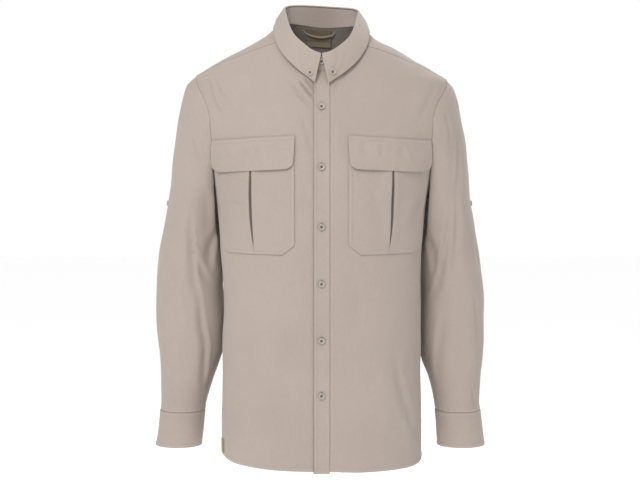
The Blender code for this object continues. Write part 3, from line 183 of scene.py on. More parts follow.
# Cuffs, seam to free edge
CUFF_COLUMNS = (
    "level",
    "outer_right",
    "outer_left",
    "inner_right",
    "inner_left",
    "middle_y",
    "depth",
)
CUFF = [
    (-0.6716, 0.2885, 0.2848, 0.2075, 0.2030, 0.033, 0.0410),
    (-0.7020, 0.2915, 0.2880, 0.2100, 0.2050, 0.031, 0.0400),
    (-0.7340, 0.2965, 0.2920, 0.2145, 0.2070, 0.029, 0.0385),
]
CUFF_LAP = 0.12
CUFF_LAP_START = 0.64

# Sleeve plackets: stations before the cuff seam, half width in parts at foot, shoulder and tip
SLEEVE_PLACKET_STATIONS = (0.06, 3.4)
SLEEVE_PLACKET_PARTS = (0.040, 0.031, 0.012)
SLEEVE_PLACKET_TURN = 0.85

# The placket and the front edges
PLACKET_LEFT_X = -0.0135
PLACKET_RIGHT_X = 0.0140
RIGHT_FRONT_EDGE_X = 0.0118
LEFT_FRONT_EDGE_X = 0.0124
PLACKET_DROP = 0.0030

# The folded edge at the top of the collar, from the middle of the front to the back
COLLAR_COLUMNS = ("round", "x", "y", "level")
FOLD = [
    (0.0, 0.000, -0.0885, -0.0470),
    (12.0, 0.013, -0.0865, -0.0415),
    (30.0, 0.030, -0.0770, -0.0300),
    (50.0, 0.0475, -0.0580, -0.0130),
    (70.0, 0.0565, -0.0330, 0.0050),
    (90.0, 0.0615, -0.0030, 0.0230),
    (110.0, 0.0645, 0.0260, 0.0350),
    (130.0, 0.0570, 0.0480, 0.0410),
    (155.0, 0.0300, 0.0600, 0.0435),
    (180.0, 0.000, 0.0630, 0.0440),
]

# The lower edge of the collar leaf, from its point to the back
LEAF = [
    (0.0, 0.0112, -0.1035, -0.0940),
    (14.0, 0.0240, -0.0980, -0.0845),
    (30.0, 0.0400, -0.0920, -0.0730),
    (50.0, 0.0640, -0.0745, -0.0490),
    (70.0, 0.0775, -0.0480, -0.0250),
    (90.0, 0.0825, -0.0120, -0.0025),
    (110.0, 0.0820, 0.0250, 0.0020),
    (130.0, 0.0700, 0.0560, 0.0010),
    (155.0, 0.0370, 0.0770, 0.0000),
    (180.0, 0.000, 0.0830, 0.0000),
]
LEAF_CLOTH = 0.0015
LEAF_FRONT_HALF_GAP = 0.0006
LEAF_FRONT_LIFT = 0.0011
LEAF_LAP_ROOM = 0.0024
LEAF_ROLL = 0.0014
LEAF_BOW = 0.0035
LEAF_START = 0.3
STAND_LIFT = 0.0004
STAND_FRONT_LIFT = 0.0006
STAND_TOP_DROP = 0.0016
STAND_SWELL = 0.0012
STAND_LAP = 0.0005
PLACKET_TOP_DROP = 0.0022

# Pocket bags: side edges by level, as distances from the middle of the front
BAG_COLUMNS = ("level", "outer", "inner", "slit", "open")
BAG = [
    (-0.2060, 0.1820, 0.0450, 0.1190, 0.05),
    (-0.2180, 0.1825, 0.0450, 0.1190, 0.15),
    (-0.2300, 0.1825, 0.0450, 0.1190, 0.30),
    (-0.2550, 0.1815, 0.0450, 0.1190, 0.75),
    (-0.2850, 0.1775, 0.0450, 0.1185, 1.00),
    (-0.3150, 0.1745, 0.0450, 0.1180, 0.90),
    (-0.3420, 0.1725, 0.0450, 0.1165, 0.55),
    (-0.3640, 0.1715, 0.0450, 0.1145, 0.15),
    (-0.3735, 0.1665, 0.0560, 0.1135, 0.03),
    (-0.3815, 0.1610, 0.0650, 0.1130, 0.00),
]
BAG_CLOTH = 0.0012
LIP_RISE = 0.0024
LIP_FOOT = 0.25
SLIT_HALF_SHUT = 0.0005
SLIT_HALF_OPEN = 0.0014

# A lip beside the slit: how far from the slit, and its share of the rise
LIP_SHAPE = [
    (0.0175, 0.25),
    (0.0130, 0.45),
    (0.0090, 0.66),
    (0.0065, 0.85),
    (0.0045, 0.97),
    (0.0030, 1.0),
    (0.0016, 1.0),
    (0.0007, 0.90),
    (0.0002, 0.62),
]

# Pocket flaps: rows from the top seam down; the levels differ at the two ends
FLAP_COLUMNS = ("outer", "inner", "outer_level", "inner_level", "rise")
FLAP = [
    (0.1860, 0.0445, -0.1905, -0.1815, 0.0000),
    (0.1862, 0.0450, -0.2040, -0.1990, 0.0022),
    (0.1855, 0.0460, -0.2230, -0.2190, 0.0037),
    (0.1835, 0.0480, -0.2350, -0.2310, 0.0043),
    (0.1730, 0.0570, -0.2440, -0.2380, 0.0045),
]
FLAP_CLOTH = 0.0013

# Buttons
BUTTON_RADIUS = 0.0059
TAB_BUTTON_RADIUS = 0.0048
BUTTON_HEIGHT = 0.0024
TAB_BUTTON_PART = 0.485
TAB_BUTTON_STATION = 6.78
FRONT_BUTTON_LEVELS = (-0.134, -0.234, -0.334, -0.430, -0.5265, -0.620)

# The neck label, the hanger loop and the side label
LABEL_LEFT_X = -0.0275
LABEL_RIGHT_X = 0.0170
LABEL_LEVELS = (0.0050, -0.0060, -0.0165, -0.0255)
LOOP_LEFT_X = -0.0330
LOOP_LENGTH = 0.0590
LOOP_LEVEL = 0.0040
LOOP_SAG = 0.0090
LOOP_BELLY = 0.0050
LOOP_WIDTH = 0.0035
LOOP_CLOTH = 0.0011
SIDE_LABEL_TURNS = (81.0, 77.0, 72.5)
SIDE_LABEL_LEVELS = (-0.7110, -0.7230, -0.7350)

# Soft folds that show in the outline: both ends as x and level, width, rise
BODY_FOLDS_FRONT = [
    (0.126, -0.560, 0.166, -0.720, 0.016, -0.0022),
    (0.143, -0.640, 0.158, -0.735, 0.015, 0.0020),
    (-0.150, -0.600, -0.148, -0.730, 0.018, 0.0018),
    (0.172, -0.300, 0.160, -0.345, 0.014, -0.0012),
]
BODY_FOLDS_BACK = [
    (0.110, -0.300, 0.085, -0.640, 0.022, 0.0030),
    (-0.115, -0.320, -0.080, -0.660, 0.022, 0.0030),
    (0.040, -0.430, 0.055, -0.740, 0.022, -0.0028),
    (-0.030, -0.400, -0.045, -0.730, 0.024, -0.0025),
    (-0.140, -0.180, -0.120, -0.300, 0.020, 0.0016),
]

# The same in the sleeves: both ends as part and station
SLEEVE_FOLDS_RIGHT = [
    (0.190, 4.5, 0.155, 8.5, 0.040, -0.0040),
    (0.270, 5.0, 0.245, 9.5, 0.045, 0.0022),
    (0.640, 7.5, 0.780, 10.5, 0.045, 0.0030),
    (0.690, 3.0, 0.760, 6.0, 0.040, -0.0024),
]
SLEEVE_FOLDS_LEFT = [
    (0.330, 3.0, 0.260, 7.0, 0.045, -0.0026),
    (0.200, 5.0, 0.150, 8.5, 0.040, -0.0030),
    (0.640, 7.0, 0.770, 10.0, 0.045, 0.0030),
    (0.700, 3.5, 0.760, 6.5, 0.040, -0.0022),
]


def column(rows, names, name):
    """One named column of a table, as numbers."""
    return np.array([row[names.index(name)] for row in rows], float)


def smooth(at, places, values):
    """A smooth curve through a table that doesn't overshoot between its rows."""
    places = np.asarray(places, float)
    values = np.asarray(values, float)
    if places[0] > places[-1]:
        places = places[::-1]
        values = values[::-1]
    step = np.diff(places)
    rise = np.diff(values) / step
    slope = np.zeros_like(values)
    slope[0] = rise[0]
    slope[-1] = rise[-1]
    before = rise[:-1]
    after = rise[1:]
    weight_one = 2 * step[1:] + step[:-1]
    weight_two = step[1:] + 2 * step[:-1]
    turning = before * after <= 0
    safe_before = np.where(turning, 1.0, before)
    safe_after = np.where(turning, 1.0, after)
    inner = (weight_one + weight_two) / (weight_one / safe_before + weight_two / safe_after)
    slope[1:-1] = np.where(turning, 0.0, inner)
    at = np.clip(at, places[0], places[-1])
    k = np.clip(np.searchsorted(places, at, side="right") - 1, 0, len(step) - 1)
    h = step[k]
    t = (at - places[k]) / h
    start = (1 + 2 * t) * (1 - t) ** 2 * values[k] + t * (1 - t) ** 2 * h * slope[k]
    end = t * t * (3 - 2 * t) * values[k + 1] + t * t * (t - 1) * h * slope[k + 1]
    return start + end


def lookup(at, rows, names, key, name):
    """A table's column, read as a smooth curve over its key column."""
    return smooth(at, column(rows, names, key), column(rows, names, name))


def ease(value, start, end):
    """0 before start, 1 after end, smooth between."""
    t = np.clip((value - start) / (end - start), 0.0, 1.0)
    return t * t * (3 - 2 * t)


def signed_power(value, power):
    return np.sign(value) * np.abs(value) ** power


def unit(vectors):
    length = np.linalg.norm(vectors, axis=-1, keepdims=True)
    return vectors / np.maximum(length, 1e-12)


def lean(x, level):
    """The right shoulder sits a little higher than the left one."""
    return -SHOULDER_LEAN * np.tanh(x / 0.05) * ease(level, -0.17, -0.09)


def beside_line(a, b, line, scale_a, scale_b):
    """How far along a line a point lies, 0 to 1, and how far across it."""
    a0, b0, a1, b1 = line
    along_a = (a1 - a0) * scale_a
    along_b = (b1 - b0) * scale_b
    length = math.hypot(along_a, along_b)
    away_a = (a - a0) * scale_a
    away_b = (b - b0) * scale_b
    t = (away_a * along_a + away_b * along_b) / length**2
    return t, (away_a * along_b - away_b * along_a) / length


def fold_rise(a, b, rows, scale_a, scale_b):
    """The sum of soft folds, each a line in two coordinates with a bell-shaped section."""
    total = np.zeros(np.broadcast(a, b).shape)
    for *line, width, rise in rows:
        t, across = beside_line(a, b, line, scale_a, scale_b)
        ends = ease(t, -0.25, 0.25) * (1 - ease(t, 0.75, 1.25))
        total = total + rise * ends * np.exp(-((across / (width * scale_a)) ** 2))
    return total


def ring(level, name):
    return lookup(level, RINGS, RING_COLUMNS, "level", name)


def half_width(on_left, level):
    """A ring's half width on the left or on the right."""
    return np.where(on_left, ring(level, "left"), ring(level, "right"))


def half_depth(in_front, level):
    """A ring's depth from its side line to the front or to the back."""
    side_y = ring(level, "side_y")
    return np.where(in_front, side_y - ring(level, "front_y"), ring(level, "back_y") - side_y)


def torso_base(angle, level):
    """The torso's surface: the angle runs from the middle of the front, + to the left side."""
    angle = np.asarray(angle, float)
    level = np.asarray(level, float)
    angle, level = np.broadcast_arrays(angle, level)
    power = 2 / ring(level, "power")
    sine = np.sin(angle)
    cosine = np.cos(angle)
    x = half_width(sine >= 0, level) * signed_power(sine, power)
    y = ring(level, "side_y") - half_depth(cosine >= 0, level) * signed_power(cosine, power)
    return np.stack([x, y, level + lean(x, level)], axis=-1)


def torso_normal(angle, level):
    step_angle = 0.004
    step_level = 0.0008
    across = torso_base(angle + step_angle, level) - torso_base(angle - step_angle, level)
    up = torso_base(angle, level + step_level) - torso_base(angle, level - step_level)
    return unit(np.cross(across, up))


def torso(angle, level, height=0.0):
    """A point on the torso's cloth, moved out by a height."""
    base = torso_base(angle, level)
    front = fold_rise(base[..., 0], base[..., 2], BODY_FOLDS_FRONT, 1.0, 1.0)
    back = fold_rise(base[..., 0], base[..., 2], BODY_FOLDS_BACK, 1.0, 1.0)
    rise = np.where(np.cos(angle) >= 0, front, back)
    rise = rise * ease(np.abs(np.cos(angle)), 0.0, 0.12)
    return base + torso_normal(angle, level) * (np.asarray(height) + rise)[..., None]


def front_angle(x, level):
    """The angle at which the torso's front has a given x."""
    x, level = np.broadcast_arrays(np.asarray(x, float), np.asarray(level, float))
    half = half_width(x >= 0, level)
    share = np.clip(np.abs(x) / half, 0.0, 1.0) ** (ring(level, "power") / 2)
    return np.sign(x) * np.arcsin(share)


def level_over(x, y):
    """The level of the shoulder and chest surface over a point in plan."""
    x, y = np.broadcast_arrays(np.asarray(x, float), np.asarray(y, float))
    low = np.full(x.shape, -0.30)
    high = np.full(x.shape, 0.021)
    for _ in range(44):
        middle = (low + high) / 2
        half = half_width(x >= 0, middle)
        side_y = ring(middle, "side_y")
        depth = half_depth(y <= side_y, middle)
        power = ring(middle, "power")
        inside = (np.abs(x) / half) ** power + (np.abs(y - side_y) / depth) ** power < 1
        low = np.where(inside, middle, low)
        high = np.where(inside, high, middle)
    return (low + high) / 2


def angle_over(x, y, level):
    """The torso angle of a point that lies on the surface at a level."""
    half = half_width(x >= 0, level)
    side_y = ring(level, "side_y")
    depth = half_depth(y <= side_y, level)
    power = ring(level, "power") / 2
    return np.arctan2(signed_power(x / half, power), signed_power((side_y - y) / depth, power))


def neck_plan(round_angle):
    """The neck seam in plan, by the angle from the middle of the front."""
    x = NECK_HALF_WIDTH * np.sin(round_angle)
    cosine = np.cos(round_angle)
    depth = np.where(cosine >= 0, NECK_FRONT_DEPTH, NECK_BACK_DEPTH)
    return x, NECK_MIDDLE_Y - depth * cosine


def neck_on_torso(round_angle):
    """The neck seam as torso angle and level."""
    x, y = neck_plan(round_angle)
    level = level_over(x, y)
    return angle_over(x, y, level), level


def armhole_on_torso(part, side):
    """The armhole seam as torso angle and level; part runs 0 to 1 from the armpit."""
    y = lookup(part, ARMHOLE, ARMHOLE_COLUMNS, "part", "y")
    level = lookup(part, ARMHOLE, ARMHOLE_COLUMNS, "part", "level")
    side_y = ring(level, "side_y")
    depth = half_depth(y <= side_y, level)
    power = ring(level, "power") / 2
    cosine = signed_power((side_y - y) / depth, power)
    return side * np.arccos(np.clip(cosine, -1.0, 1.0)), level


def hem_level(angle):
    """The hem's level round the body, smoothed by its table."""
    turned = (np.degrees(angle) + 180.0) % 360.0 - 180.0
    return lookup(turned, HEM, HEM_COLUMNS, "round", "level")


def sleeve_value(station, name):
    return smooth(station, np.arange(len(SLEEVE)), column(SLEEVE, SLEEVE_COLUMNS, name))


def sleeve_section(part, station, side):
    """A point of a sleeve's section: part 0 is the inner side, 0.25 the front, 0.5 the outer side."""
    which = "left" if side > 0 else "right"
    outer_x = sleeve_value(station, "outer_" + which)
    inner_x = sleeve_value(station, "inner_" + which)
    outer_level = sleeve_value(station, "outer_level")
    inner_level = sleeve_value(station, "inner_level")
    turn = 2 * math.pi * part
    cosine = signed_power(np.cos(turn), 0.94)
    sine = signed_power(np.sin(turn), 0.94)
    depth = np.where(sine >= 0, sleeve_value(station, "front"), sleeve_value(station, "back"))
    x = (outer_x + inner_x) / 2 - (outer_x - inner_x) / 2 * cosine
    z = (outer_level + inner_level) / 2 - (outer_level - inner_level) / 2 * cosine
    y = sleeve_value(station, "middle_y") - depth * sine
    return np.stack([side * x, y, z], axis=-1)


def beyond_armhole(y, level):
    """How far a point seen from the side lies outside the armhole seam; negative inside it."""
    parts = np.linspace(0, 1, 181)[:-1]
    away_y = lookup(parts, ARMHOLE, ARMHOLE_COLUMNS, "part", "y") - ARMHOLE_MIDDLE_Y
    away_z = lookup(parts, ARMHOLE, ARMHOLE_COLUMNS, "part", "level") - ARMHOLE_MIDDLE_LEVEL
    turn = np.arctan2(away_y, -away_z)
    order = np.argsort(turn)
    reach = np.hypot(away_y, away_z)
    turn_at = np.arctan2(y - ARMHOLE_MIDDLE_Y, ARMHOLE_MIDDLE_LEVEL - level)
    seam_reach = np.interp(turn_at, turn[order], reach[order], period=2 * math.pi)
    return np.hypot(y - ARMHOLE_MIDDLE_Y, level - ARMHOLE_MIDDLE_LEVEL) - seam_reach


def clear_of_body(points, side):
    """Keep the sleeve just outside the torso's panels below and beside the armhole."""
    level = points[..., 2]
    beyond = beyond_armhole(points[..., 1], level)
    clearance = SLEEVE_CLEAR_OF_BODY * (0.3 + 0.7 * ease(beyond, 0.0, 0.025))
    half = ring(level, "left" if side > 0 else "right") + clearance
    side_y = ring(level, "side_y")
    y = points[..., 1]
    depth = half_depth(y <= side_y, level) + clearance
    power = ring(level, "power")
    room = np.clip(1 - (np.abs(y - side_y) / depth) ** power, 0.0, 1.0)
    wall = half * room ** (1 / power)
    x = points[..., 0] * side
    soft = 0.0016
    pushed = (x + wall + np.sqrt((x - wall) ** 2 + soft**2)) / 2
    applies = ease(beyond, -0.006, 0.002)
    out = points.copy()
    out[..., 0] = side * (x + (pushed - x) * applies)
    return out


def sleeve_base(part, station, side):
    part, station = np.broadcast_arrays(np.asarray(part, float), np.asarray(station, float))
    points = sleeve_section(part, station, side)
    angle, level = armhole_on_torso(part % 1.0, side)
    shift = torso(angle, level) - sleeve_section(part, np.zeros_like(station), side)
    fade = 1 - ease(station, 0.0, 3.5)
    points = points + shift * fade[..., None]
    cleared = clear_of_body(points, side)
    return points + (cleared - points) * ease(station, 0.0, 0.35)[..., None]


def sleeve_normal(part, station, side):
    step_part = 0.004
    step_station = 0.06
    around = sleeve_base(part + step_part, station, side) - sleeve_base(part - step_part, station, side)
    upper = np.clip(station - step_station, 0.0, len(SLEEVE) - 1)
    lower = np.clip(station + step_station, 0.0, len(SLEEVE) - 1)
    along = sleeve_base(part, lower, side) - sleeve_base(part, upper, side)
    return unit(np.cross(along, around)) * side


def sleeve(part, station, side, height=0.0):
    """A point on a sleeve's cloth, moved out by a height."""
    part, station = np.broadcast_arrays(np.asarray(part, float), np.asarray(station, float))
    rows = SLEEVE_FOLDS_LEFT if side > 0 else SLEEVE_FOLDS_RIGHT
    rise = fold_rise(part, station, rows, 1.0, 0.1) * ease(station, 1.0, 3.0)
    base = sleeve_base(part, station, side)
    return base + sleeve_normal(part, station, side) * (np.asarray(height) + rise)[..., None]


def armhole_seam(part, side):
    """Where torso and sleeve meet: the point, and the way into each wall from it."""
    angle, level = armhole_on_torso(part, side)
    point = torso(angle, level)
    body_normal = torso_normal(angle, level)
    station = np.full(np.shape(part), 0.35)
    onward = unit(sleeve(part, station, side) - point)
    part = np.asarray(part)
    around = sleeve(part + 0.004, station * 0, side) - sleeve(part - 0.004, station * 0, side)
    arm_normal = unit(np.cross(onward, around)) * side
    outward = (body_normal * onward).sum(-1)
    both = unit(body_normal + arm_normal)
    share = ease(-outward, 0.0, 0.15)[..., None]
    body_way = unit(body_normal * (1 - share) + both * share)
    arm_way = unit(arm_normal * (1 - share) + both * share)
    body_length = CLOTH / np.maximum((body_way * body_normal).sum(-1, keepdims=True), 0.6)
    arm_length = CLOTH / np.maximum((arm_way * arm_normal).sum(-1, keepdims=True), 0.6)
    return point, -body_way * body_length, -arm_way * arm_length


def blend_patch(bottom, top, start, end, u, v):
    """Fill four edges with a patch; each edge is an array of points in any coordinates."""
    u = u[None, :, None]
    v = v[:, None, None]
    ruled_rows = (1 - v) * bottom[None] + v * top[None]
    ruled_columns = (1 - u) * start[:, None] + u * end[:, None]
    corners = (1 - u) * (1 - v) * bottom[0] + u * (1 - v) * bottom[-1]
    corners = corners + (1 - u) * v * top[0] + u * v * top[-1]
    return ruled_rows + ruled_columns - corners


def front_yoke_seam(side, t):
    """The forward shoulder seam in plan and as angle and level, from neck to armhole."""
    neck_x, neck_y = neck_plan(side * NECK_JOIN_ANGLE)
    angle, level = armhole_on_torso(np.array([FRONT_SEAM_PART]), side)
    arm = torso_base(angle, level)[0]
    x = neck_x + (arm[0] - neck_x) * t
    y = neck_y + (arm[1] - neck_y) * (0.55 * t + 0.45 * t**3) + 0.004 * np.sin(math.pi * t)
    seam_level = level_over(x, y)
    seam_angle = angle_over(x, y, seam_level)
    seam_angle = np.where(t == 1, angle[0], seam_angle)
    seam_level = np.where(t == 1, level[0], seam_level)
    return np.stack([x, y], -1), np.stack([seam_angle, seam_level], -1)


def back_yoke_seam(u):
    """The back yoke seam as angle and level, from the left armhole to the right one."""
    angle, level = armhole_on_torso(np.array([BACK_SEAM_PART]), 1)
    share = YOKE_SEAM_SHARE
    t = np.interp(u, [0, share, 1 - share, 1], [-1, -YOKE_NECK_SHARE, YOKE_NECK_SHARE, 1])
    angles = math.pi + (math.pi - angle[0]) * t
    levels = BACK_YOKE_MIDDLE_LEVEL + (level[0] - BACK_YOKE_MIDDLE_LEVEL) * t**2
    return np.stack([angles, levels], -1)


def swing_round_neck(plan, near, v):
    """Lead the yoke's columns away from the neck before they turn to the back."""
    side = np.sign(near[:, 0])
    from_side = np.hypot(np.abs(near[:, 0]) - NECK_HALF_WIDTH, near[:, 1] + 0.020)
    strength = YOKE_SWING * side * np.exp(-((from_side / 0.045) ** 2))
    v = v[:, None]
    out = plan.copy()
    out[..., 0] += strength[None] * np.sin(math.pi * v**0.6)
    return out


def cuff_value(level, name):
    return smooth(level, column(CUFF, CUFF_COLUMNS, "level"), column(CUFF, CUFF_COLUMNS, name))


def cuff_point(part, level, side, height=0.0):
    which = "left" if side > 0 else "right"
    part, level = np.broadcast_arrays(np.asarray(part, float), np.asarray(level, float))
    outer_x = cuff_value(level, "outer_" + which)
    inner_x = cuff_value(level, "inner_" + which)
    turn = 2 * math.pi * part
    half = (outer_x - inner_x) / 2 + height
    x = (outer_x + inner_x) / 2 - half * np.cos(turn)
    y = cuff_value(level, "middle_y") - (cuff_value(level, "depth") + height) * np.sin(turn)
    return np.stack([side * x, y, level], axis=-1)


def cuff_height(part):
    """The lap lies over the other end of the cuff."""
    over = CUFF_LAP_START + 1.0
    return (BAND_CLOTH + 0.0006) * ease(part, over - 0.10, over - 0.012)


def collar_turn(rounds):
    """Degrees from the middle of the front, 0 to 180, for any turn round the neck."""
    turned = (np.degrees(rounds) + 180.0) % 360.0 - 180.0
    return np.abs(turned), np.where(turned < 0, -1.0, 1.0)


def collar_line(rounds, rows):
    """A line of the collar from its table, by the turn round the neck."""
    turn, side = collar_turn(rounds)
    x, y, z = (lookup(turn, rows, COLLAR_COLUMNS, "round", name) for name in ("x", "y", "level"))
    x = side * x
    return np.stack([x, y, z + lean(x, z)], -1)


# Seams and stitching
TOPSTITCH_NEAR = 0.0016
TOPSTITCH_FAR = 0.0064
TWO_LINES = (TOPSTITCH_NEAR, TOPSTITCH_FAR)
CUFF_STITCH = 0.0075
FLAP_STITCH = 0.0022
PLACKET_STITCH = 0.0055
HEM_STITCH = 0.0062
LEAF_STITCH = 0.0030
STITCH_LENGTH = 0.0023
STITCH_PITCH = 0.0031
STITCH_WIDTH = 0.00050
STITCH_HEIGHT = 0.00026
STITCH_SINK = 0.0001
STITCH_BELLY = 0.26
HOLE_STITCHES = 18
HOLE_HALF_LENGTH = 0.0076
HOLE_HALF_WIDTH = 0.0007
HOLE_STITCH_LENGTH = 0.0014
HOLE_RISE = 0.0001
BUTTON_SINK = 0.0002
SEAM_DIP = 0.0007

# Distances from an edge at which the fine grids have a line
EDGE_OFFSETS = (
    0.0, 0.0008, 0.0016, 0.0025, 0.0034, 0.0043,
    0.0053, 0.0062, 0.0071, 0.0085, 0.0110, 0.0145,
)
EDGE_REACH = 0.42

# Each piece's size along its grid and the grid's step
GRIDS = {
    "front_round": (0.262, 0.0042),
    "front_below": (0.480, 0.0052),
    "front_above": (0.200, 0.0042),
    "back_round": (0.520, 0.0048),
    "back_below": (0.490, 0.0054),
    "back_above": (0.150, 0.0044),
    "yoke_seam": (0.150, 0.0045),
    "yoke_neck": (0.235, 0.0045),
    "yoke_fall": (0.110, 0.0042),
    "cuff_round": (0.330, 0.0030),
    "sleeve_placket_width": (0.024, 0.0020),
    "sleeve_placket_length": (0.125, 0.0035),
    "stand_round": (0.500, 0.0035),
    "stand_rise": (0.036, 0.0030),
    "leaf_round": (0.520, 0.0034),
    "leaf_fall": (0.050, 0.0030),
    "placket_length": (0.655, 0.0032),
    "bag_outer": (0.045, 0.0036),
    "bag_inner": (0.055, 0.0036),
    "flap_fall": (0.056, 0.0030),
    "flap_round": (0.145, 0.0028),
}
FINE_FRONT_WIDTH = 0.050
FINE_FRONT_COLUMNS = 24
FINE_FRONT_ROWS = (0.36, 0.66)
SLEEVE_COLUMNS_ROUND = 104
SLEEVE_ROWS = 124

# The cloth's gentle unevenness: waves a metre along each axis, where each starts, and its height
WAVES = [
    (9.0, 4.0, 2.5, 0.3, 0.00045),
    (-6.0, 5.0, 7.5, 1.9, 0.00040),
    (14.0, -8.0, 4.0, 4.0, 0.00026),
    (5.0, 11.0, -13.0, 2.2, 0.00022),
    (-23.0, 9.0, 12.0, 0.7, 0.00013),
    (26.0, 15.0, -9.0, 5.1, 0.00012),
]

# Creases in the body's cloth: both ends as x and level, bend, width, rise
CREASES_FRONT = [
    (-0.1945, -0.084, -0.1690, -0.1500, 0.004, 0.0050, -0.0036),
    (-0.1830, -0.080, -0.1610, -0.1280, 0.003, 0.0045, -0.0019),
    (-0.2000, -0.105, -0.1820, -0.1480, 0.003, 0.0050, -0.0019),
    (-0.1720, -0.096, -0.1480, -0.1420, 0.004, 0.0060, -0.0012),
    (0.1950, -0.092, 0.1780, -0.1500, -0.003, 0.0055, -0.0019),
    (0.1840, -0.100, 0.1640, -0.1620, -0.004, 0.0065, -0.0012),
    (-0.0400, -0.0850, -0.0060, -0.1250, 0.002, 0.0024, -0.0038),
    (-0.0290, -0.0840, -0.0040, -0.1130, 0.001, 0.0021, -0.0032),
    (-0.0530, -0.0890, -0.0120, -0.1370, 0.003, 0.0034, -0.0026),
    (-0.0170, -0.0900, 0.0020, -0.1120, 0.001, 0.0020, -0.0020),
    (-0.0300, -0.1500, -0.0170, -0.1960, 0.002, 0.0055, -0.0018),
    (-0.0250, -0.1720, -0.0150, -0.2230, -0.002, 0.0050, -0.0020),
    (0.0240, -0.1580, 0.0180, -0.2000, 0.002, 0.0060, -0.0012),
    (-0.0270, -0.2560, -0.0170, -0.3040, 0.002, 0.0070, -0.0013),
    (-0.1520, -0.2520, -0.1250, -0.2600, 0.001, 0.0045, -0.0011),
    (-0.1600, -0.2900, -0.1330, -0.3010, 0.001, 0.0050, -0.0012),
    (-0.1120, -0.2500, -0.1000, -0.2840, 0.002, 0.0070, -0.0012),
    (0.1500, -0.2480, 0.1280, -0.2620, -0.001, 0.0050, -0.0012),
    (0.0900, -0.2700, 0.1020, -0.3240, 0.003, 0.0090, -0.0012),
    (0.0380, -0.0780, 0.0150, -0.1150, -0.002, 0.0034, -0.0014),
    (0.1760, -0.2850, 0.1600, -0.3220, 0.002, 0.0060, -0.0024),
    (-0.1780, -0.2900, -0.1680, -0.3250, 0.002, 0.0060, -0.0015),
    (0.1290, -0.5600, 0.1700, -0.7050, 0.006, 0.0075, -0.0026),
    (0.1415, -0.6600, 0.1579, -0.7100, 0.001, 0.0060, 0.0010),
    (-0.1510, -0.6100, -0.1511, -0.6850, 0.001, 0.0060, -0.0016),
    (-0.0900, -0.3950, -0.0840, -0.5300, 0.005, 0.0120, -0.0009),
    (0.0600, -0.4100, 0.0740, -0.5700, 0.004, 0.0130, -0.0008),
    (-0.0560, -0.5600, -0.0480, -0.7300, 0.004, 0.0140, -0.0009),
    (0.0900, -0.5400, 0.0860, -0.7200, -0.005, 0.0150, -0.0009),
    (-0.1250, -0.4700, -0.1120, -0.6100, 0.004, 0.0110, -0.0008),
]
CREASES_BACK = [
    (-0.1950, -0.1500, -0.1500, -0.2350, 0.005, 0.0060, -0.0029),
    (0.1950, -0.1480, 0.1560, -0.2250, -0.004, 0.0060, -0.0026),
    (-0.1860, -0.2300, -0.1350, -0.2850, 0.004, 0.0065, -0.0020),
    (0.1840, -0.2400, 0.1400, -0.3000, -0.005, 0.0070, -0.0024),
    (0.0950, -0.1500, 0.0780, -0.3300, 0.008, 0.0100, -0.0026),
    (-0.0880, -0.1450, -0.0720, -0.3500, -0.008, 0.0100, -0.0024),
    (0.0200, -0.3300, 0.0280, -0.5200, 0.005, 0.0120, -0.0020),
    (-0.1250, -0.3900, -0.0400, -0.4550, 0.006, 0.0080, -0.0024),
    (0.1300, -0.4100, 0.0500, -0.4620, -0.006, 0.0080, -0.0022),
    (0.1150, -0.5400, 0.1250, -0.7200, 0.005, 0.0130, -0.0027),
    (-0.1150, -0.5500, -0.1300, -0.7300, -0.005, 0.0130, -0.0026),
    (-0.0050, -0.5500, -0.0150, -0.7400, 0.004, 0.0140, -0.0022),
]

# How the yoke seam's and the front edge's shares run along the panels' edges
NECK_EDGE_SHARE = 0.6
YOKE_SEAM_SHARE = 11 / 36

# Creases in the collar leaf: both ends as degrees round the neck and share of its fall
LEAF_CREASES = [
    (24.0, 0.10, 10.0, 0.80, 0.0015, 0.0040, -0.0009),
    (38.0, 0.20, 17.0, 0.95, 0.0015, 0.0045, -0.0008),
    (329.0, 0.15, 348.0, 0.75, -0.0010, 0.0040, -0.0007),
    (205.0, 0.10, 214.0, 0.70, 0.0010, 0.0045, -0.0006),
    (150.0, 0.20, 142.0, 0.90, 0.0015, 0.0060, -0.0007),
    (262.0, 0.20, 255.0, 0.90, 0.0015, 0.0060, -0.0006),
]

# Soft upright creases in the pocket flaps, in the columns of the body's
FLAP_CREASES = [
    (-0.1290, -0.1960, -0.1262, -0.2240, 0.001, 0.0045, -0.0016),
    (-0.1060, -0.1950, -0.1047, -0.2300, 0.001, 0.0036, -0.0018),
    (-0.0790, -0.1930, -0.0735, -0.2160, 0.001, 0.0052, -0.0017),
    (-0.1580, -0.2000, -0.1500, -0.2260, 0.002, 0.0060, -0.0014),
    (0.0720, -0.1900, 0.0760, -0.2180, 0.001, 0.0055, -0.0014),
    (0.1010, -0.1920, 0.0990, -0.2210, -0.001, 0.0040, -0.0016),
    (0.1330, -0.1960, 0.1400, -0.2230, 0.001, 0.0055, -0.0016),
]

# How far the lap of the collar stand comes down at its end
STAND_LAP_FALL = 0.0024

# A button's section from the back's middle to the dish: shares of its radius and its height
BUTTON_PROFILE = [
    (0.0, 0.0),
    (0.90, 0.0),
    (0.985, 0.12),
    (1.0, 0.40),
    (0.985, 0.74),
    (0.94, 0.93),
    (0.87, 1.0),
    (0.80, 0.97),
    (0.74, 0.84),
    (0.69, 0.70),
    (0.60, 0.58),
    (0.35, 0.55),
    (0.0, 0.54),
]
BUTTON_HOLE_RADIUS = 0.135
BUTTON_HOLE_AWAY = 0.235

# Painted shade on the cloth: how dark it is painted in sewn edges, in the pocket slits, on the inner faces
# and beside the placket's left edge
EDGE_SHADE = 0.20
SLIT_SHADE = 0.80
INSIDE_SHADE = 0.42
BAND_SHADE = 0.62

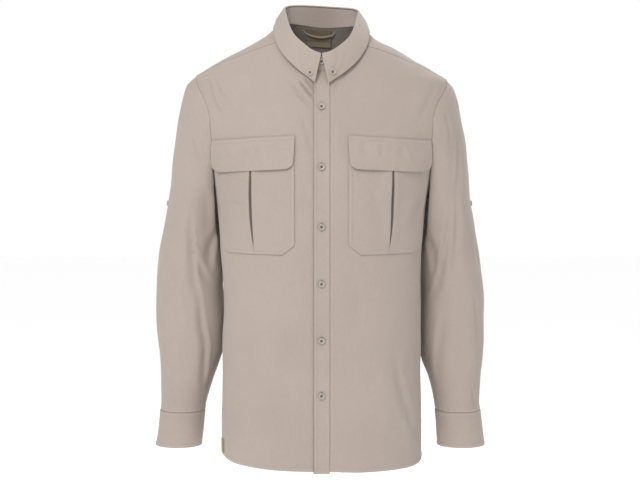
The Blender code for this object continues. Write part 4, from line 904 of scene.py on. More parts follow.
# Creases in the sleeves: both ends as part and station, bend, width and rise in metres
SLEEVE_CREASES_RIGHT = [
    (0.265, 6.2, 0.200, 10.1, 0.003, 0.0060, -0.0043),
    (0.200, 10.0, 0.125, 14.3, 0.004, 0.0065, -0.0037),
    (0.310, 2.4, 0.240, 3.3, 0.001, 0.0045, -0.0019),
    (0.250, 7.6, 0.130, 9.2, 0.005, 0.0080, -0.0031),
    (0.100, 6.0, 0.150, 8.4, 0.004, 0.0080, -0.0034),
    (0.330, 8.6, 0.260, 12.0, 0.006, 0.0100, -0.0019),
    (0.420, 10.0, 0.330, 13.5, -0.005, 0.0100, -0.0019),
    (0.340, 13.6, 0.300, 15.8, 0.002, 0.0055, -0.0020),
    (0.620, 6.3, 0.780, 8.4, 0.006, 0.0080, -0.0037),
    (0.860, 6.8, 0.720, 9.3, -0.006, 0.0080, -0.0040),
    (0.660, 9.0, 0.800, 10.6, 0.005, 0.0080, -0.0031),
    (0.840, 2.0, 0.700, 4.8, -0.006, 0.0080, -0.0031),
    (0.720, 11.5, 0.790, 14.6, 0.004, 0.0085, -0.0025),
    (0.580, 1.6, 0.620, 4.4, 0.004, 0.0090, -0.0019),
]
SLEEVE_CREASES_LEFT = [
    (0.370, 3.3, 0.315, 5.9, 0.002, 0.0080, -0.0025),
    (0.315, 5.9, 0.235, 9.5, 0.003, 0.0075, -0.0031),
    (0.260, 6.4, 0.140, 9.9, 0.003, 0.0070, -0.0037),
    (0.350, 10.2, 0.385, 12.6, 0.002, 0.0060, -0.0020),
    (0.345, 14.2, 0.375, 15.8, 0.001, 0.0050, -0.0020),
    (0.350, 1.2, 0.295, 3.2, 0.002, 0.0050, -0.0016),
    (0.200, 10.6, 0.130, 14.0, 0.004, 0.0080, -0.0028),
    (0.110, 6.4, 0.160, 8.8, 0.004, 0.0080, -0.0031),
    (0.450, 7.0, 0.400, 10.0, 0.004, 0.0100, -0.0019),
    (0.630, 6.6, 0.770, 8.9, 0.006, 0.0080, -0.0037),
    (0.850, 7.2, 0.710, 9.6, -0.006, 0.0080, -0.0040),
    (0.650, 9.6, 0.790, 11.2, 0.005, 0.0080, -0.0028),
    (0.830, 2.4, 0.710, 5.2, -0.006, 0.0080, -0.0031),
    (0.700, 12.0, 0.770, 14.8, 0.004, 0.0085, -0.0025),
    (0.570, 1.8, 0.630, 4.8, 0.004, 0.0090, -0.0020),
]
SLEEVE_ROUND = 0.38
STATION_LENGTH = 0.0375

# The floor, the lamps, the world's light from the sides and the camera
FLOOR_LEVEL = -1.42
FLOOR_REACH = 12.0
LAMP_SIZE = 1.2
LAMP_AIM = (0.0, 0.0, -0.40)
SIDE_LIGHT = 0.60
SIDE_LIGHT_SPAN = (0.26, 0.74)
CAMERA_PLACE = (-0.002625, -2.8, -0.156)
CAMERA_DIP = math.atan(120 / 1600)
CAMERA_LENS = 90.0
CAMERA_SENSOR = 36.0

SIDES = (("left", 1), ("right", -1))

# What is made once and used by many
THREADS = {}
BUTTON_MESHES = {}


def crease_rise(a, b, rows, scale_a, scale_b):
    """The sum of creases: each a bent trough with a sharper side and a soft ridge beside it."""
    total = np.zeros(np.broadcast(a, b).shape)
    for *line, bend, width, rise in rows:
        t, across = beside_line(a, b, line, scale_a, scale_b)
        across = across - bend * 4 * t * (1 - t)
        reach = across / (width * (0.75 + 0.5 * np.clip(t, 0, 1)))
        reach = np.where(reach < 0, reach * 1.5, reach * 0.85)
        ends = ease(t, -0.12, 0.30) * (1 - ease(t, 0.62, 1.12))
        trough = np.exp(-(reach**2)) - 0.42 * np.exp(-(((np.abs(reach) - 1.9) / 0.95) ** 2))
        total = total + rise * ends * trough
    return total


def unevenness(points):
    total = np.zeros(points.shape[:-1])
    for kx, ky, kz, start, height in WAVES:
        phase = points[..., 0] * kx + points[..., 1] * ky + points[..., 2] * kz
        total = total + height * np.sin(2 * math.pi * phase + start)
    return total


def still_at_armhole(points):
    """1 on the open cloth, 0 at the armhole seam, so that both sides of it meet."""
    beyond = np.abs(beyond_armhole(points[..., 1], points[..., 2]))
    near_side = ease(np.abs(points[..., 0]), 0.10, 0.14)
    return 1 - (1 - ease(beyond, 0.001, 0.016)) * near_side


def body(angle, level, height=0.0):
    """The torso's cloth with its creases, moved out by a height."""
    base = torso_base(angle, level)
    x, z = base[..., 0], base[..., 2]
    front = crease_rise(x, z, CREASES_FRONT, 1.0, 1.0)
    back = crease_rise(x, z, CREASES_BACK, 1.0, 1.0)
    rise = np.where(np.cos(angle) >= 0, front, back) * ease(np.abs(np.cos(angle)), 0.0, 0.12)
    rise = (rise + unevenness(base)) * still_at_armhole(base)
    return torso(angle, level, rise + height)


def arm(part, station, side, height=0.0):
    """A sleeve's cloth with its creases, moved out by a height."""
    part, station = np.broadcast_arrays(np.asarray(part, float), np.asarray(station, float))
    rows = SLEEVE_CREASES_LEFT if side > 0 else SLEEVE_CREASES_RIGHT
    rise = crease_rise(part, station, rows, SLEEVE_ROUND, STATION_LENGTH)
    rise = rise + unevenness(sleeve_section(part, station, side))
    rise = rise * ease(station, 0.05, 0.6) * (1 - ease(station, 15.6, 16.0))
    return sleeve(part, station, side, rise + height)


def edge_steps(length, step, near_start=True, near_end=True, keep=()):
    """Places 0 to 1 along a length, close together where seams and stitching run."""
    offsets = [offset for offset in EDGE_OFFSETS if offset < EDGE_REACH * length]
    start = offsets if near_start else [0.0]
    end = offsets if near_end else [0.0]
    first = start[-1]
    last = length - end[-1]
    count = max(2, round((last - first) / step))
    middle = np.linspace(first, last, count + 1)[1:-1]
    places = np.concatenate([start, middle, length - np.array(end[::-1])]) / length
    for value in keep:
        places[np.argmin(np.abs(places - value))] = value
    return places


def edge_distances(points):
    """How far each grid point is from the grid's four edges, measured along the grid."""
    across = np.linalg.norm(np.diff(points, axis=1), axis=-1)
    along = np.linalg.norm(np.diff(points, axis=0), axis=-1)
    start = np.concatenate([np.zeros((len(points), 1)), np.cumsum(across, axis=1)], axis=1)
    bottom = np.concatenate([np.zeros((1, points.shape[1])), np.cumsum(along, axis=0)])
    end = start[:, -1:] - start
    return {"start": start, "end": end, "bottom": bottom, "top": bottom[-1:] - bottom}


def grid_steps(name, **near):
    """The places of a named grid's lines, 0 to 1."""
    return edge_steps(*GRIDS[name], **near)


def bell(distance, middle, width):
    return np.exp(-(((distance - middle) / width) ** 2))


def seam_relief(distance, along, lines=(), dip=SEAM_DIP, pucker=0.00022):
    """A sewn seam: the dip at the join, the fuller cloth beside it, stitch lines and puckers."""
    rise = -dip * bell(distance, 0.0, 0.0013)
    if lines:
        rise = rise + 0.00035 * (1 - ease(distance, max(lines), max(lines) + 0.0016))
    for line in lines:
        rise = rise - 0.00030 * bell(distance, line, 0.0008)
    wave = np.sin(2 * math.pi * along / 0.0115 + 1.4 * np.sin(2 * math.pi * along / 0.041))
    return rise + pucker * wave * bell(distance, 0.004, 0.0055)


def free_edge_relief(distance, along, lines=(), roll=0.0005, pucker=0.00012):
    """A turned edge: rounded off at the very edge, fuller up to the last stitch line."""
    rise = -roll * bell(distance, 0.0, 0.0009)
    if lines:
        rise = rise + 0.00045 * (1 - ease(distance, max(lines) - 0.0002, max(lines) + 0.0012))
    for line in lines:
        rise = rise - 0.00028 * bell(distance, line, 0.0008)
    wave = np.sin(2 * math.pi * along / 0.0128 + 1.1 * np.sin(2 * math.pi * along / 0.047))
    return rise + pucker * wave * bell(distance, 0.004, 0.005)


def free_edges_relief(away, edges, lines, **shape):
    """The relief of several turned edges; each one's run is along the other way of the grid."""
    total = 0.0
    for edge in edges:
        along = away["start"] if edge in ("bottom", "top") else away["bottom"]
        total = total + free_edge_relief(away[edge], along, lines, **shape)
    return total


def grid_normals(outer, inner):
    rows = np.gradient(outer, axis=0)
    columns = np.gradient(outer, axis=1)
    normal = unit(np.cross(rows, columns))
    turned = (normal * (outer - inner)).sum(-1).mean() < 0
    return -normal if turned else normal


def add_grains(group, points, normals):
    """Thread grains along a line of points, one for each stitch."""
    if len(points) < 2:
        return
    step = np.linalg.norm(np.diff(points, axis=0), axis=-1)
    run = np.concatenate([[0.0], np.cumsum(step)])
    if run[-1] < STITCH_PITCH:
        return
    count = int(run[-1] / STITCH_PITCH)
    places = (np.arange(count) + 0.5) * run[-1] / count

    def at(run_at, values):
        return np.stack([np.interp(run_at, run, values[:, k]) for k in range(3)], -1)

    middle = at(places, points)
    ahead = unit(at(places + STITCH_LENGTH / 2, points) - at(places - STITCH_LENGTH / 2, points))
    up = unit(at(places, normals))
    THREADS.setdefault(group, []).append((middle, ahead, up, STITCH_LENGTH))


def line_beside(points, away, offset, by_rows):
    """The line that keeps an offset from an edge of a grid."""
    grid = points if by_rows else points.transpose(1, 0, 2)
    far = away if by_rows else away.T
    found = []
    for col in range(grid.shape[1]):
        values = far[:, col]
        if values.max() < offset * 1.5:
            found.append(np.full(3, np.nan))
            continue
        order = np.argsort(values)
        found.append([np.interp(offset, values[order], grid[order, col, k]) for k in range(3)])
    return np.array(found)


def sew(group, piece, edges, offsets, first=0, last=None):
    """Stitches along some edges of a piece, at offsets from each."""
    for edge in edges:
        by_rows = edge in ("bottom", "top")
        for offset in offsets:
            line = line_beside(piece["outer"], piece["away"][edge], offset, by_rows)[first:last]
            normals = line_beside(piece["normal"], piece["away"][edge], offset, by_rows)[first:last]
            good = ~np.isnan(line[:, 0])
            add_grains(group, line[good], normals[good])


def new_mesh_object(name, vertices, faces, material_name, smooth_angle=50):
    mesh = bpy.data.meshes.new(name)
    mesh.from_pydata(np.asarray(vertices).tolist(), [], faces)
    mesh.shade_smooth()
    mesh.set_sharp_from_angle(angle=math.radians(smooth_angle))
    item = bpy.data.objects.new(name, mesh)
    item.data.materials.append(MATERIALS[material_name])
    bpy.context.scene.collection.objects.link(item)
    return item


def shell(name, piece, material_name, around=False):
    """A closed thin shell from a piece's outer and inner grids, with its lie in metres as UVs."""
    outer, inner, away = piece["outer"], piece["inner"], piece["away"]
    rows, columns = outer.shape[:2]
    count = rows * columns
    number = np.arange(count).reshape(rows, columns)
    right = np.roll(number, -1, axis=1) if around else number[:, 1:]
    left = number if around else number[:, :-1]
    face_sets = [
        np.stack([left[:-1], right[:-1], right[1:], left[1:]], -1).reshape(-1, 4),
        np.stack([left[1:], right[1:], right[:-1], left[:-1]], -1).reshape(-1, 4) + count,
    ]
    for row, turned in ((0, False), (rows - 1, True)):
        one, two = (right[row], left[row]) if not turned else (left[row], right[row])
        face_sets.append(np.stack([one, two, two + count, one + count], -1))
    if not around:
        for col, turned in ((0, True), (columns - 1, False)):
            low, high = number[:-1, col], number[1:, col]
            one, two = (high, low) if not turned else (low, high)
            face_sets.append(np.stack([one, two, two + count, one + count], -1))
    faces = np.concatenate(face_sets)
    vertices = np.concatenate([outer.reshape(-1, 3), inner.reshape(-1, 3)])
    item = new_mesh_object(name, vertices, faces.tolist(), material_name)
    work = bmesh.new()
    work.from_mesh(item.data)
    if work.calc_volume(signed=True) < 0:
        bmesh.ops.reverse_faces(work, faces=work.faces[:])
        work.to_mesh(item.data)
    work.free()
    mesh = item.data
    lie = np.stack([away["start"], away["bottom"]], -1).reshape(-1, 2)
    lie = np.concatenate([lie, lie])
    if around:
        whole = away["start"][:, -1:] + np.linalg.norm(outer[:, 0] - outer[:, -1], axis=-1)[:, None]
    places = np.empty(len(mesh.loops), int)
    mesh.loops.foreach_get("vertex_index", places)
    uv = lie[places]
    if around:
        starts = np.empty(len(mesh.polygons), int)
        mesh.polygons.foreach_get("loop_start", starts)
        column_at = (places % count) % columns
        row_at = (places % count) // columns
        for start in starts:
            span = slice(start, start + 4)
            cols = column_at[span]
            if cols.min() == 0 and cols.max() == columns - 1:
                wrap = np.where(cols == 0)[0] + start
                uv[wrap, 0] = whole[row_at[wrap], 0]
    layer = mesh.uv_layers.new(name="lie")
    layer.data.foreach_set("uv", uv.astype(np.float32).ravel())
    # Marks for the material: wear along the edges, and painted shade, raised on the inner faces to the
    # piece's inside value.
    for kind in ("wear", "shade"):
        inside = piece[kind] if kind == "wear" else np.maximum(piece[kind], piece.get("inside", 0.0))
        values = np.concatenate([piece[kind].ravel(), inside.ravel()])
        mark = mesh.attributes.new(name=kind, type="FLOAT", domain="POINT")
        mark.data.foreach_set("value", values.astype(np.float32))
    return item


def make_piece(surface, relief, thickness, around=False):
    """Lay a grid on its surface, measure it, and lay it again with its relief."""
    away = edge_distances(surface(0.0))
    height = relief(away)
    outer = surface(height)
    inner = surface(height - thickness)
    nearest = np.minimum(away["bottom"], away["top"])
    if not around:
        nearest = np.minimum(nearest, np.minimum(away["start"], away["end"]))
    piece = {"outer": outer, "inner": inner, "away": away, "wear": bell(nearest, 0.0, 0.004)}
    # Painted shade in the crevices along the piece's edges and seams.
    piece["shade"] = EDGE_SHADE * bell(nearest, 0.0, 0.0007)
    piece["normal"] = grid_normals(outer, inner)
    return piece


def laid(angle, level, lift, relief, thickness):
    """A piece laid on the body's cloth, moved out by a lift."""
    return make_piece(lambda height: body(angle, level, lift + height), relief, thickness)


def front_piece(side):
    """A front panel, hem to yoke seam, front edge to side seam and armhole."""
    edge_x = LEFT_FRONT_EDGE_X if side > 0 else RIGHT_FRONT_EDGE_X
    edge_round = math.asin(edge_x / NECK_HALF_WIDTH)
    armpit = np.array([side * math.pi / 2, ARMPIT_LEVEL])
    close = FINE_FRONT_WIDTH / GRIDS["front_round"][0]
    u = grid_steps("front_round", near_start=False)
    u = np.concatenate([np.linspace(0, close, FINE_FRONT_COLUMNS)[:-1], u[u >= close]])
    lower_rows = grid_steps("front_below", near_end=False)[:-1]
    neck_share = NECK_EDGE_SHARE
    v = grid_steps("front_above", near_start=False, keep=(neck_share,))
    between = np.concatenate([v[:-1] + (v[1:] - v[:-1]) * t for t in (1 / 3, 2 / 3)])
    fine_from, fine_to = FINE_FRONT_ROWS
    v = np.sort(np.concatenate([v, between[(between > fine_from) & (between < fine_to)]]))
    lower = []
    for t in lower_rows:
        start_angle = front_angle(edge_x, -0.75 * (1 - t) + ARMPIT_LEVEL * t)
        angles = start_angle * (1 - u) + armpit[0] * u
        lower.append(np.stack([angles, hem_level(angles) * (1 - t) + ARMPIT_LEVEL * t], -1))
    middle_angles = front_angle(edge_x, ARMPIT_LEVEL) * (1 - u) + armpit[0] * u
    middle_row = np.stack([middle_angles, np.full(len(u), ARMPIT_LEVEL)], -1)
    _, top = front_yoke_seam(side, u)
    along_edge = v <= neck_share
    neck_part = (v[~along_edge] - neck_share) / (1 - neck_share)
    rounds = edge_round + neck_part * (side * NECK_JOIN_ANGLE - edge_round)
    neck_angle, neck_level = neck_on_torso(rounds)
    _, edge_top = neck_on_torso(np.array([edge_round]))
    edge_levels = ARMPIT_LEVEL + (edge_top[0] - ARMPIT_LEVEL) * v[along_edge] / neck_share
    front_edge = np.stack([front_angle(edge_x, edge_levels), edge_levels], -1)
    start = np.concatenate([front_edge, np.stack([neck_angle, neck_level], -1)])
    end = np.stack(armhole_on_torso(v * FRONT_SEAM_PART, side), -1)
    end[0] = armpit
    upper = blend_patch(middle_row, top, start, end, u, v)
    grid = np.concatenate([np.array(lower), upper])
    below = len(lower)

    def relief(away):
        hem = free_edge_relief(away["bottom"], away["start"], (HEM_STITCH,))
        yoke = seam_relief(away["top"], away["start"])
        side_seam = seam_relief(away["end"], away["bottom"], pucker=0.0003)
        armhole = seam_relief(away["end"], away["bottom"], TWO_LINES)
        share = np.zeros((len(grid), 1))
        share[below:] = ease(np.arange(len(grid) - below), 1, 6)[:, None]
        return hem + yoke + side_seam * (1 - share) + armhole * share

    piece = laid(grid[..., 0], grid[..., 1], 0.0, relief, CLOTH)
    piece["below"] = below
    # Painted shade over the inner face.
    piece["inside"] = INSIDE_SHADE
    return piece


def back_piece():
    """The back below the yoke, from the left side round to the right side."""
    u = grid_steps("back_round")
    lower_rows = grid_steps("back_below", near_end=False)[:-1]
    v = grid_steps("back_above", near_start=False)
    around = math.pi / 2 + math.pi * u
    lower = []
    for t in lower_rows:
        lower.append(np.stack([around, hem_level(around) * (1 - t) + ARMPIT_LEVEL * t], -1))
    bottom = np.stack([around, np.full(len(u), ARMPIT_LEVEL)], -1)
    parts = 1.0 + (BACK_SEAM_PART - 1.0) * v
    start = np.stack(armhole_on_torso(parts, 1), -1)
    end_angle, end_level = armhole_on_torso(parts, -1)
    end = np.stack([end_angle + 2 * math.pi, end_level], -1)
    start[0, 0] = math.pi / 2
    end[0, 0] = 3 * math.pi / 2
    upper = blend_patch(bottom, back_yoke_seam(u), start, end, u, v)
    grid = np.concatenate([np.array(lower), upper])
    below = len(lower)

    def relief(away):
        hem = free_edge_relief(away["bottom"], away["start"], (HEM_STITCH,))
        yoke = seam_relief(away["top"], away["start"])
        share = np.zeros((len(grid), 1))
        share[below:] = ease(np.arange(len(grid) - below), 1, 6)[:, None]
        total = hem + yoke
        for edge in ("start", "end"):
            plain = seam_relief(away[edge], away["bottom"], pucker=0.0003)
            sewn = seam_relief(away[edge], away["bottom"], TWO_LINES)
            total = total + plain * (1 - share) + sewn * share
        return total

    piece = laid(grid[..., 0], grid[..., 1], 0.0, relief, CLOTH)
    piece["below"] = below
    # Painted shade over the inner face.
    piece["inside"] = INSIDE_SHADE
    return piece


def yoke_piece():
    """The yoke, from the front seams and the neck down to the back yoke seam."""
    share = YOKE_SEAM_SHARE
    seam_steps = grid_steps("yoke_seam")
    neck_steps = grid_steps("yoke_neck", near_start=False, near_end=False)
    along_neck = (share + (1 - 2 * share) * neck_steps)[1:-1]
    u = np.concatenate([share * seam_steps, along_neck, 1 - share * seam_steps[::-1]])
    v = grid_steps("yoke_fall")
    left_plan, _ = front_yoke_seam(1, (1 - seam_steps))
    right_plan, _ = front_yoke_seam(-1, (1 - seam_steps)[::-1])
    rounds = NECK_JOIN_ANGLE + (2 * math.pi - 2 * NECK_JOIN_ANGLE) * neck_steps
    neck_x, neck_y = neck_plan(rounds)
    near = np.concatenate([left_plan, np.stack([neck_x, neck_y], -1)[1:-1], right_plan])
    seam = back_yoke_seam(u)
    far = torso_base(seam[:, 0], seam[:, 1])[:, :2]
    parts = FRONT_SEAM_PART + (BACK_SEAM_PART - FRONT_SEAM_PART) * v
    left_end = torso_base(*armhole_on_torso(parts, 1))[:, :2]
    right_end = torso_base(*armhole_on_torso(parts, -1))[:, :2]
    plan = blend_patch(near, far, left_end, right_end, u, v)
    plan = swing_round_neck(plan, near, v)
    level = level_over(plan[..., 0], plan[..., 1])
    angle = angle_over(plan[..., 0], plan[..., 1], level)
    angle[-1], level[-1] = seam[:, 0], seam[:, 1]
    angle[:, 0], level[:, 0] = armhole_on_torso(parts, 1)
    angle[:, -1], level[:, -1] = armhole_on_torso(parts, -1)
    columns = len(seam_steps)

    def relief(away):
        total = seam_relief(away["top"], away["start"], TWO_LINES)
        for edge in ("start", "end"):
            total = total + seam_relief(away[edge], away["bottom"], TWO_LINES)
        at_front = np.zeros((1, len(u)))
        at_front[0, :columns] = 1
        at_front[0, -columns:] = 1
        return total + at_front * seam_relief(away["bottom"], away["start"], TWO_LINES)

    piece = laid(angle, level, 0.0, relief, CLOTH)
    piece["columns"] = columns
    # Painted shade over the inner face.
    piece["inside"] = INSIDE_SHADE
    return piece


def sleeve_piece(side):
    """A sleeve tube, armhole seam to cuff seam."""
    parts = np.arange(SLEEVE_COLUMNS_ROUND) / SLEEVE_COLUMNS_ROUND
    near = np.array(EDGE_OFFSETS) / STATION_LENGTH
    end = len(SLEEVE) - 1
    stations = np.concatenate([near, np.linspace(0.48, end - 0.5, SLEEVE_ROWS), end - near[::-1]])
    part, station = np.meshgrid(parts, stations)
    point, _, arm_way = armhole_seam(parts, side)
    seam_way = unit(-arm_way)

    def surface(height):
        height = np.broadcast_to(height, part.shape)
        out = arm(part, station, side, height)
        out[0] = point + seam_way * height[0][:, None]
        return out

    def relief(away):
        cap = seam_relief(away["bottom"], away["start"], dip=0.0008, pucker=0.0004)
        return cap + seam_relief(away["top"], away["start"], dip=0.0004, pucker=0.0005)

    return make_piece(surface, relief, CLOTH, around=True)


def cuff_piece(side):
    """A cuff, from its lap round the wrist to under the lap."""
    parts = CUFF_LAP_START + (1.0 + CUFF_LAP) * grid_steps("cuff_round")
    top, bottom = CUFF[0][0], CUFF[-1][0]
    levels = top + (bottom - top) * edge_steps(top - bottom, 0.0030)
    part, level = np.meshgrid(parts, levels)
    lap = cuff_height(part)

    def relief(away):
        total = free_edges_relief(away, ["bottom"], (TOPSTITCH_NEAR, CUFF_STITCH), pucker=0.0001)
        total = total + free_edges_relief(away, ["top", "start", "end"], (TOPSTITCH_FAR,), pucker=0.0001)
        return np.minimum(total, 0.0007) + 0.4 * unevenness(cuff_point(part, level, side))

    return make_piece(lambda height: cuff_point(part, level, side, lap + height), relief, BAND_CLOTH)


def sleeve_placket_piece(side):
    """The band over the sleeve's opening, at the back above the cuff."""
    shares = grid_steps("sleeve_placket_width") * 2 - 1
    rows = grid_steps("sleeve_placket_length")
    first, last = SLEEVE_PLACKET_STATIONS
    stations = len(SLEEVE) - 1 - first - (last - first) * rows
    foot, shoulder, tip = SLEEVE_PLACKET_PARTS
    turn = SLEEVE_PLACKET_TURN
    narrow = foot - (foot - shoulder) * rows / turn
    narrow = np.where(rows > turn, shoulder - (shoulder - tip) * (rows - turn) / (1 - turn), narrow)
    middle = CUFF_LAP_START + CUFF_LAP / 2
    part = middle + narrow[:, None] * shares[None]
    station = np.broadcast_to(stations[:, None], part.shape)

    def relief(away):
        total = free_edges_relief(away, ["start", "end", "top"], (TOPSTITCH_NEAR,), pucker=0.0)
        return np.minimum(total, 0.0005)

    return make_piece(lambda height: arm(part, station, side, GAP + CLOTH + height), relief, CLOTH)


def stand_piece():
    """The collar stand: its left end laps over its right end in front."""
    under = math.asin(RIGHT_FRONT_EDGE_X / NECK_HALF_WIDTH)
    over = math.asin(LEFT_FRONT_EDGE_X / NECK_HALF_WIDTH)
    rounds = under + (-over - 2 * math.pi - under) * grid_steps("stand_round")
    angle, level = neck_on_torso(rounds)
    x, y = neck_plan(rounds)
    outward = unit(np.stack([x, y - NECK_MIDDLE_Y, np.zeros_like(x)], -1))
    turn, _ = collar_turn(rounds)
    foot = body(angle, level)
    foot[:, 2] += STAND_LIFT + STAND_FRONT_LIFT * (1 - ease(turn, 9.0, 26.0))
    top = collar_line(rounds, FOLD)
    top[:, 2] -= STAND_TOP_DROP
    lap_height = (STAND_CLOTH + STAND_LAP) * ease(-rounds, 2 * math.pi - 0.50, 2 * math.pi - 0.19)
    foot[:, 2] -= STAND_LAP_FALL * ease(-rounds, 2 * math.pi - 0.25, 2 * math.pi - 0.18)
    v = grid_steps("stand_rise")[:, None]

    def surface(height):
        height = np.broadcast_to(height, (len(v), len(rounds)))
        middle = foot[None] * (1 - v[..., None]) + top[None] * v[..., None]
        swell = STAND_SWELL * np.sin(math.pi * v) + lap_height[None] + height
        return middle + outward[None] * swell[..., None]

    def relief(away):
        total = free_edges_relief(away, ["bottom"], (TOPSTITCH_NEAR,), pucker=0.0001)
        total = total + free_edges_relief(away, ["end"], (TOPSTITCH_NEAR,), pucker=0.0)
        return np.minimum(total, 0.0006)

    return make_piece(surface, relief, STAND_CLOTH)


def leaf_piece():
    """The collar leaf: rolls over the stand's top and falls to its lower edge."""
    rounds = np.radians(LEAF_START + (360.0 - 2 * LEAF_START) * grid_steps("leaf_round"))
    crest = collar_line(rounds, FOLD)
    edge = collar_line(rounds, LEAF)
    x, y = neck_plan(rounds)
    outward = unit(np.stack([x, y - NECK_MIDDLE_Y, np.zeros_like(x)], -1))
    turn, side = collar_turn(rounds)
    near = 1 - ease(turn, 0.0, 14.0)
    crest[:, 0] += side * LEAF_FRONT_HALF_GAP * near
    crest[:, 2] += LEAF_FRONT_LIFT * near
    lap_room = LEAF_LAP_ROOM * (1 - ease(turn, 12.0, 30.0))
    up = np.array([0.0, 0.0, 1.0])
    roll = LEAF_ROLL
    start = crest + outward * (lap_room[:, None] + roll * 1.1) - up * roll * 0.6
    down = unit(edge - start)
    face = unit(outward - down * (outward * down).sum(-1, keepdims=True))
    centre = crest + outward * (lap_room[:, None] + roll * 0.5) - up * roll * 0.2
    turns = np.linspace(0.0, 0.9, 8)
    falls = 0.04 + 0.96 * grid_steps("leaf_fall", near_start=False)

    def surface(height):
        height = np.broadcast_to(height, (len(turns) + len(falls), len(rounds)))
        rows = []
        for k, turned in enumerate(turns):
            over = math.pi * (1 - turned)
            way = outward * math.cos(over) + up * math.sin(over)
            rows.append(centre + way * (roll * 0.5 + height[k][:, None]))
        for k, t in enumerate(falls):
            point = start * (1 - t) + edge * t + outward * LEAF_BOW * math.sin(math.pi * t)
            rows.append(point + face * height[len(turns) + k][:, None])
        return np.array(rows)

    shape = (len(turns) + len(falls), len(rounds))
    fall = np.concatenate([np.zeros(len(turns)), falls])[:, None]
    degrees = np.degrees(rounds)[None]

    def relief(away):
        total = np.zeros(shape)
        for name in ("top", "start", "end"):
            total = total + free_edge_relief(away[name], away["start"], (LEAF_STITCH,), pucker=0.00015)
        total = np.minimum(total, 0.0006)
        creases = crease_rise(degrees, fall, LEAF_CREASES, 0.0013, 0.050)
        return total + creases * ease(fall, 0.0, 0.15) + LEAF_CLOTH

    return make_piece(surface, relief, LEAF_CLOTH)


def placket_piece():
    """The front band, from below the hem edge up to the collar stand."""
    width = PLACKET_RIGHT_X - PLACKET_LEFT_X
    x = PLACKET_LEFT_X + width * edge_steps(width, 0.0024)
    round_angle = np.arcsin(x / NECK_HALF_WIDTH)
    _, neck_level = neck_on_torso(round_angle)
    top = neck_level - PLACKET_TOP_DROP
    hem = hem_level(front_angle(x, -0.75)) - PLACKET_DROP
    v = grid_steps("placket_length")[:, None]
    level = hem[None] * (1 - v) + top[None] * v
    grid_x = np.broadcast_to(x, level.shape)
    angle = front_angle(grid_x, level)

    def relief(away):
        left = free_edges_relief(away, ["start"], (PLACKET_STITCH,), roll=0.0002, pucker=0.0003)
        left = left + 0.0007 * bell(away["start"], 0.0012, 0.0022)
        right = free_edges_relief(away, ["end"], (TOPSTITCH_NEAR,), roll=0.0013, pucker=0.0002)
        hem_rise = free_edge_relief(away["bottom"], away["start"], (HEM_STITCH,))
        dimples = np.zeros(level.shape)
        for button_level in FRONT_BUTTON_LEVELS:
            far = np.hypot(grid_x / 0.8, level - button_level)
            dimples -= 0.00045 * np.exp(-((far / 0.009) ** 2))
        return np.minimum(left + right, 0.0009) + hem_rise + dimples

    piece = laid(angle, level, GAP + BAND_CLOTH, relief, BAND_CLOTH)
    # Painted shadow along the left edge, where the band stands off the front.
    placket_edge_shadow = BAND_SHADE * bell(piece["away"]["start"], 0.0, 0.0010)
    piece["shade"] = np.maximum(piece["shade"], placket_edge_shadow)
    return piece


def bag_piece(side):
    """A pocket bag: the two halves rise in folded lips at an upright slit."""
    fall = BAG[0][0] - BAG[-1][0]
    levels = BAG[0][0] - fall * edge_steps(fall, 0.0034, near_start=False)

    def value(name):
        return lookup(levels, BAG, BAG_COLUMNS, "level", name)[:, None]

    outer_x, inner_x, slit, opened = value("outer"), value("inner"), value("slit"), value("open")
    outer_part = grid_steps("bag_outer", near_end=False)[None, :-1]
    inner_part = (1 - grid_steps("bag_inner", near_end=False)[::-1])[None, 1:]
    half = SLIT_HALF_SHUT + SLIT_HALF_OPEN * opened
    reach = LIP_SHAPE[0][0]
    columns = [outer_x + (slit + reach - outer_x) * outer_part]
    rises = [LIP_FOOT * ease(outer_part, 0.0, 1.0) * np.ones_like(columns[0])]
    for offset, rise in LIP_SHAPE:
        columns.append(slit + half + offset)
        rises.append(np.full_like(slit, rise))
    for place in (1.0, 0.4, -0.4, -1.0):
        columns.append(slit + half * place)
        rises.append(np.zeros_like(slit))
    for offset, rise in reversed(LIP_SHAPE):
        columns.append(slit - half - offset)
        rises.append(np.full_like(slit, rise))
    columns.append(slit - reach - half + (inner_x - slit + reach + half) * inner_part)
    rises.append(LIP_FOOT * (1 - ease(inner_part, 0.0, 1.0)) * np.ones_like(columns[-1]))
    x = side * np.concatenate(columns, axis=1)
    rise = np.concatenate(rises, axis=1)
    opening = (0.28 + 0.72 * opened) * ease(levels[:, None], BAG[-1][0] - 0.001, BAG[-1][0] + 0.008)
    lift = PATCH_GAP + (LIP_RISE + 0.0006) * opening * rise
    level = np.broadcast_to(levels[:, None], x.shape)
    angle = front_angle(x, level)

    def relief(away):
        return np.clip(free_edges_relief(away, ["start", "end", "top"], TWO_LINES), -0.0004, 0.0006)

    piece = laid(angle, level, lift + BAG_CLOTH, relief, BAG_CLOTH)
    # Painted shadow down the open slit between the lips.
    slit_shadow_mask = 1 - ease(np.abs(np.abs(x) - slit) / half, 0.95, 1.25)
    piece["shade"] = np.maximum(piece["shade"], SLIT_SHADE * slit_shadow_mask * ease(opened, 0.0, 0.25))
    return piece


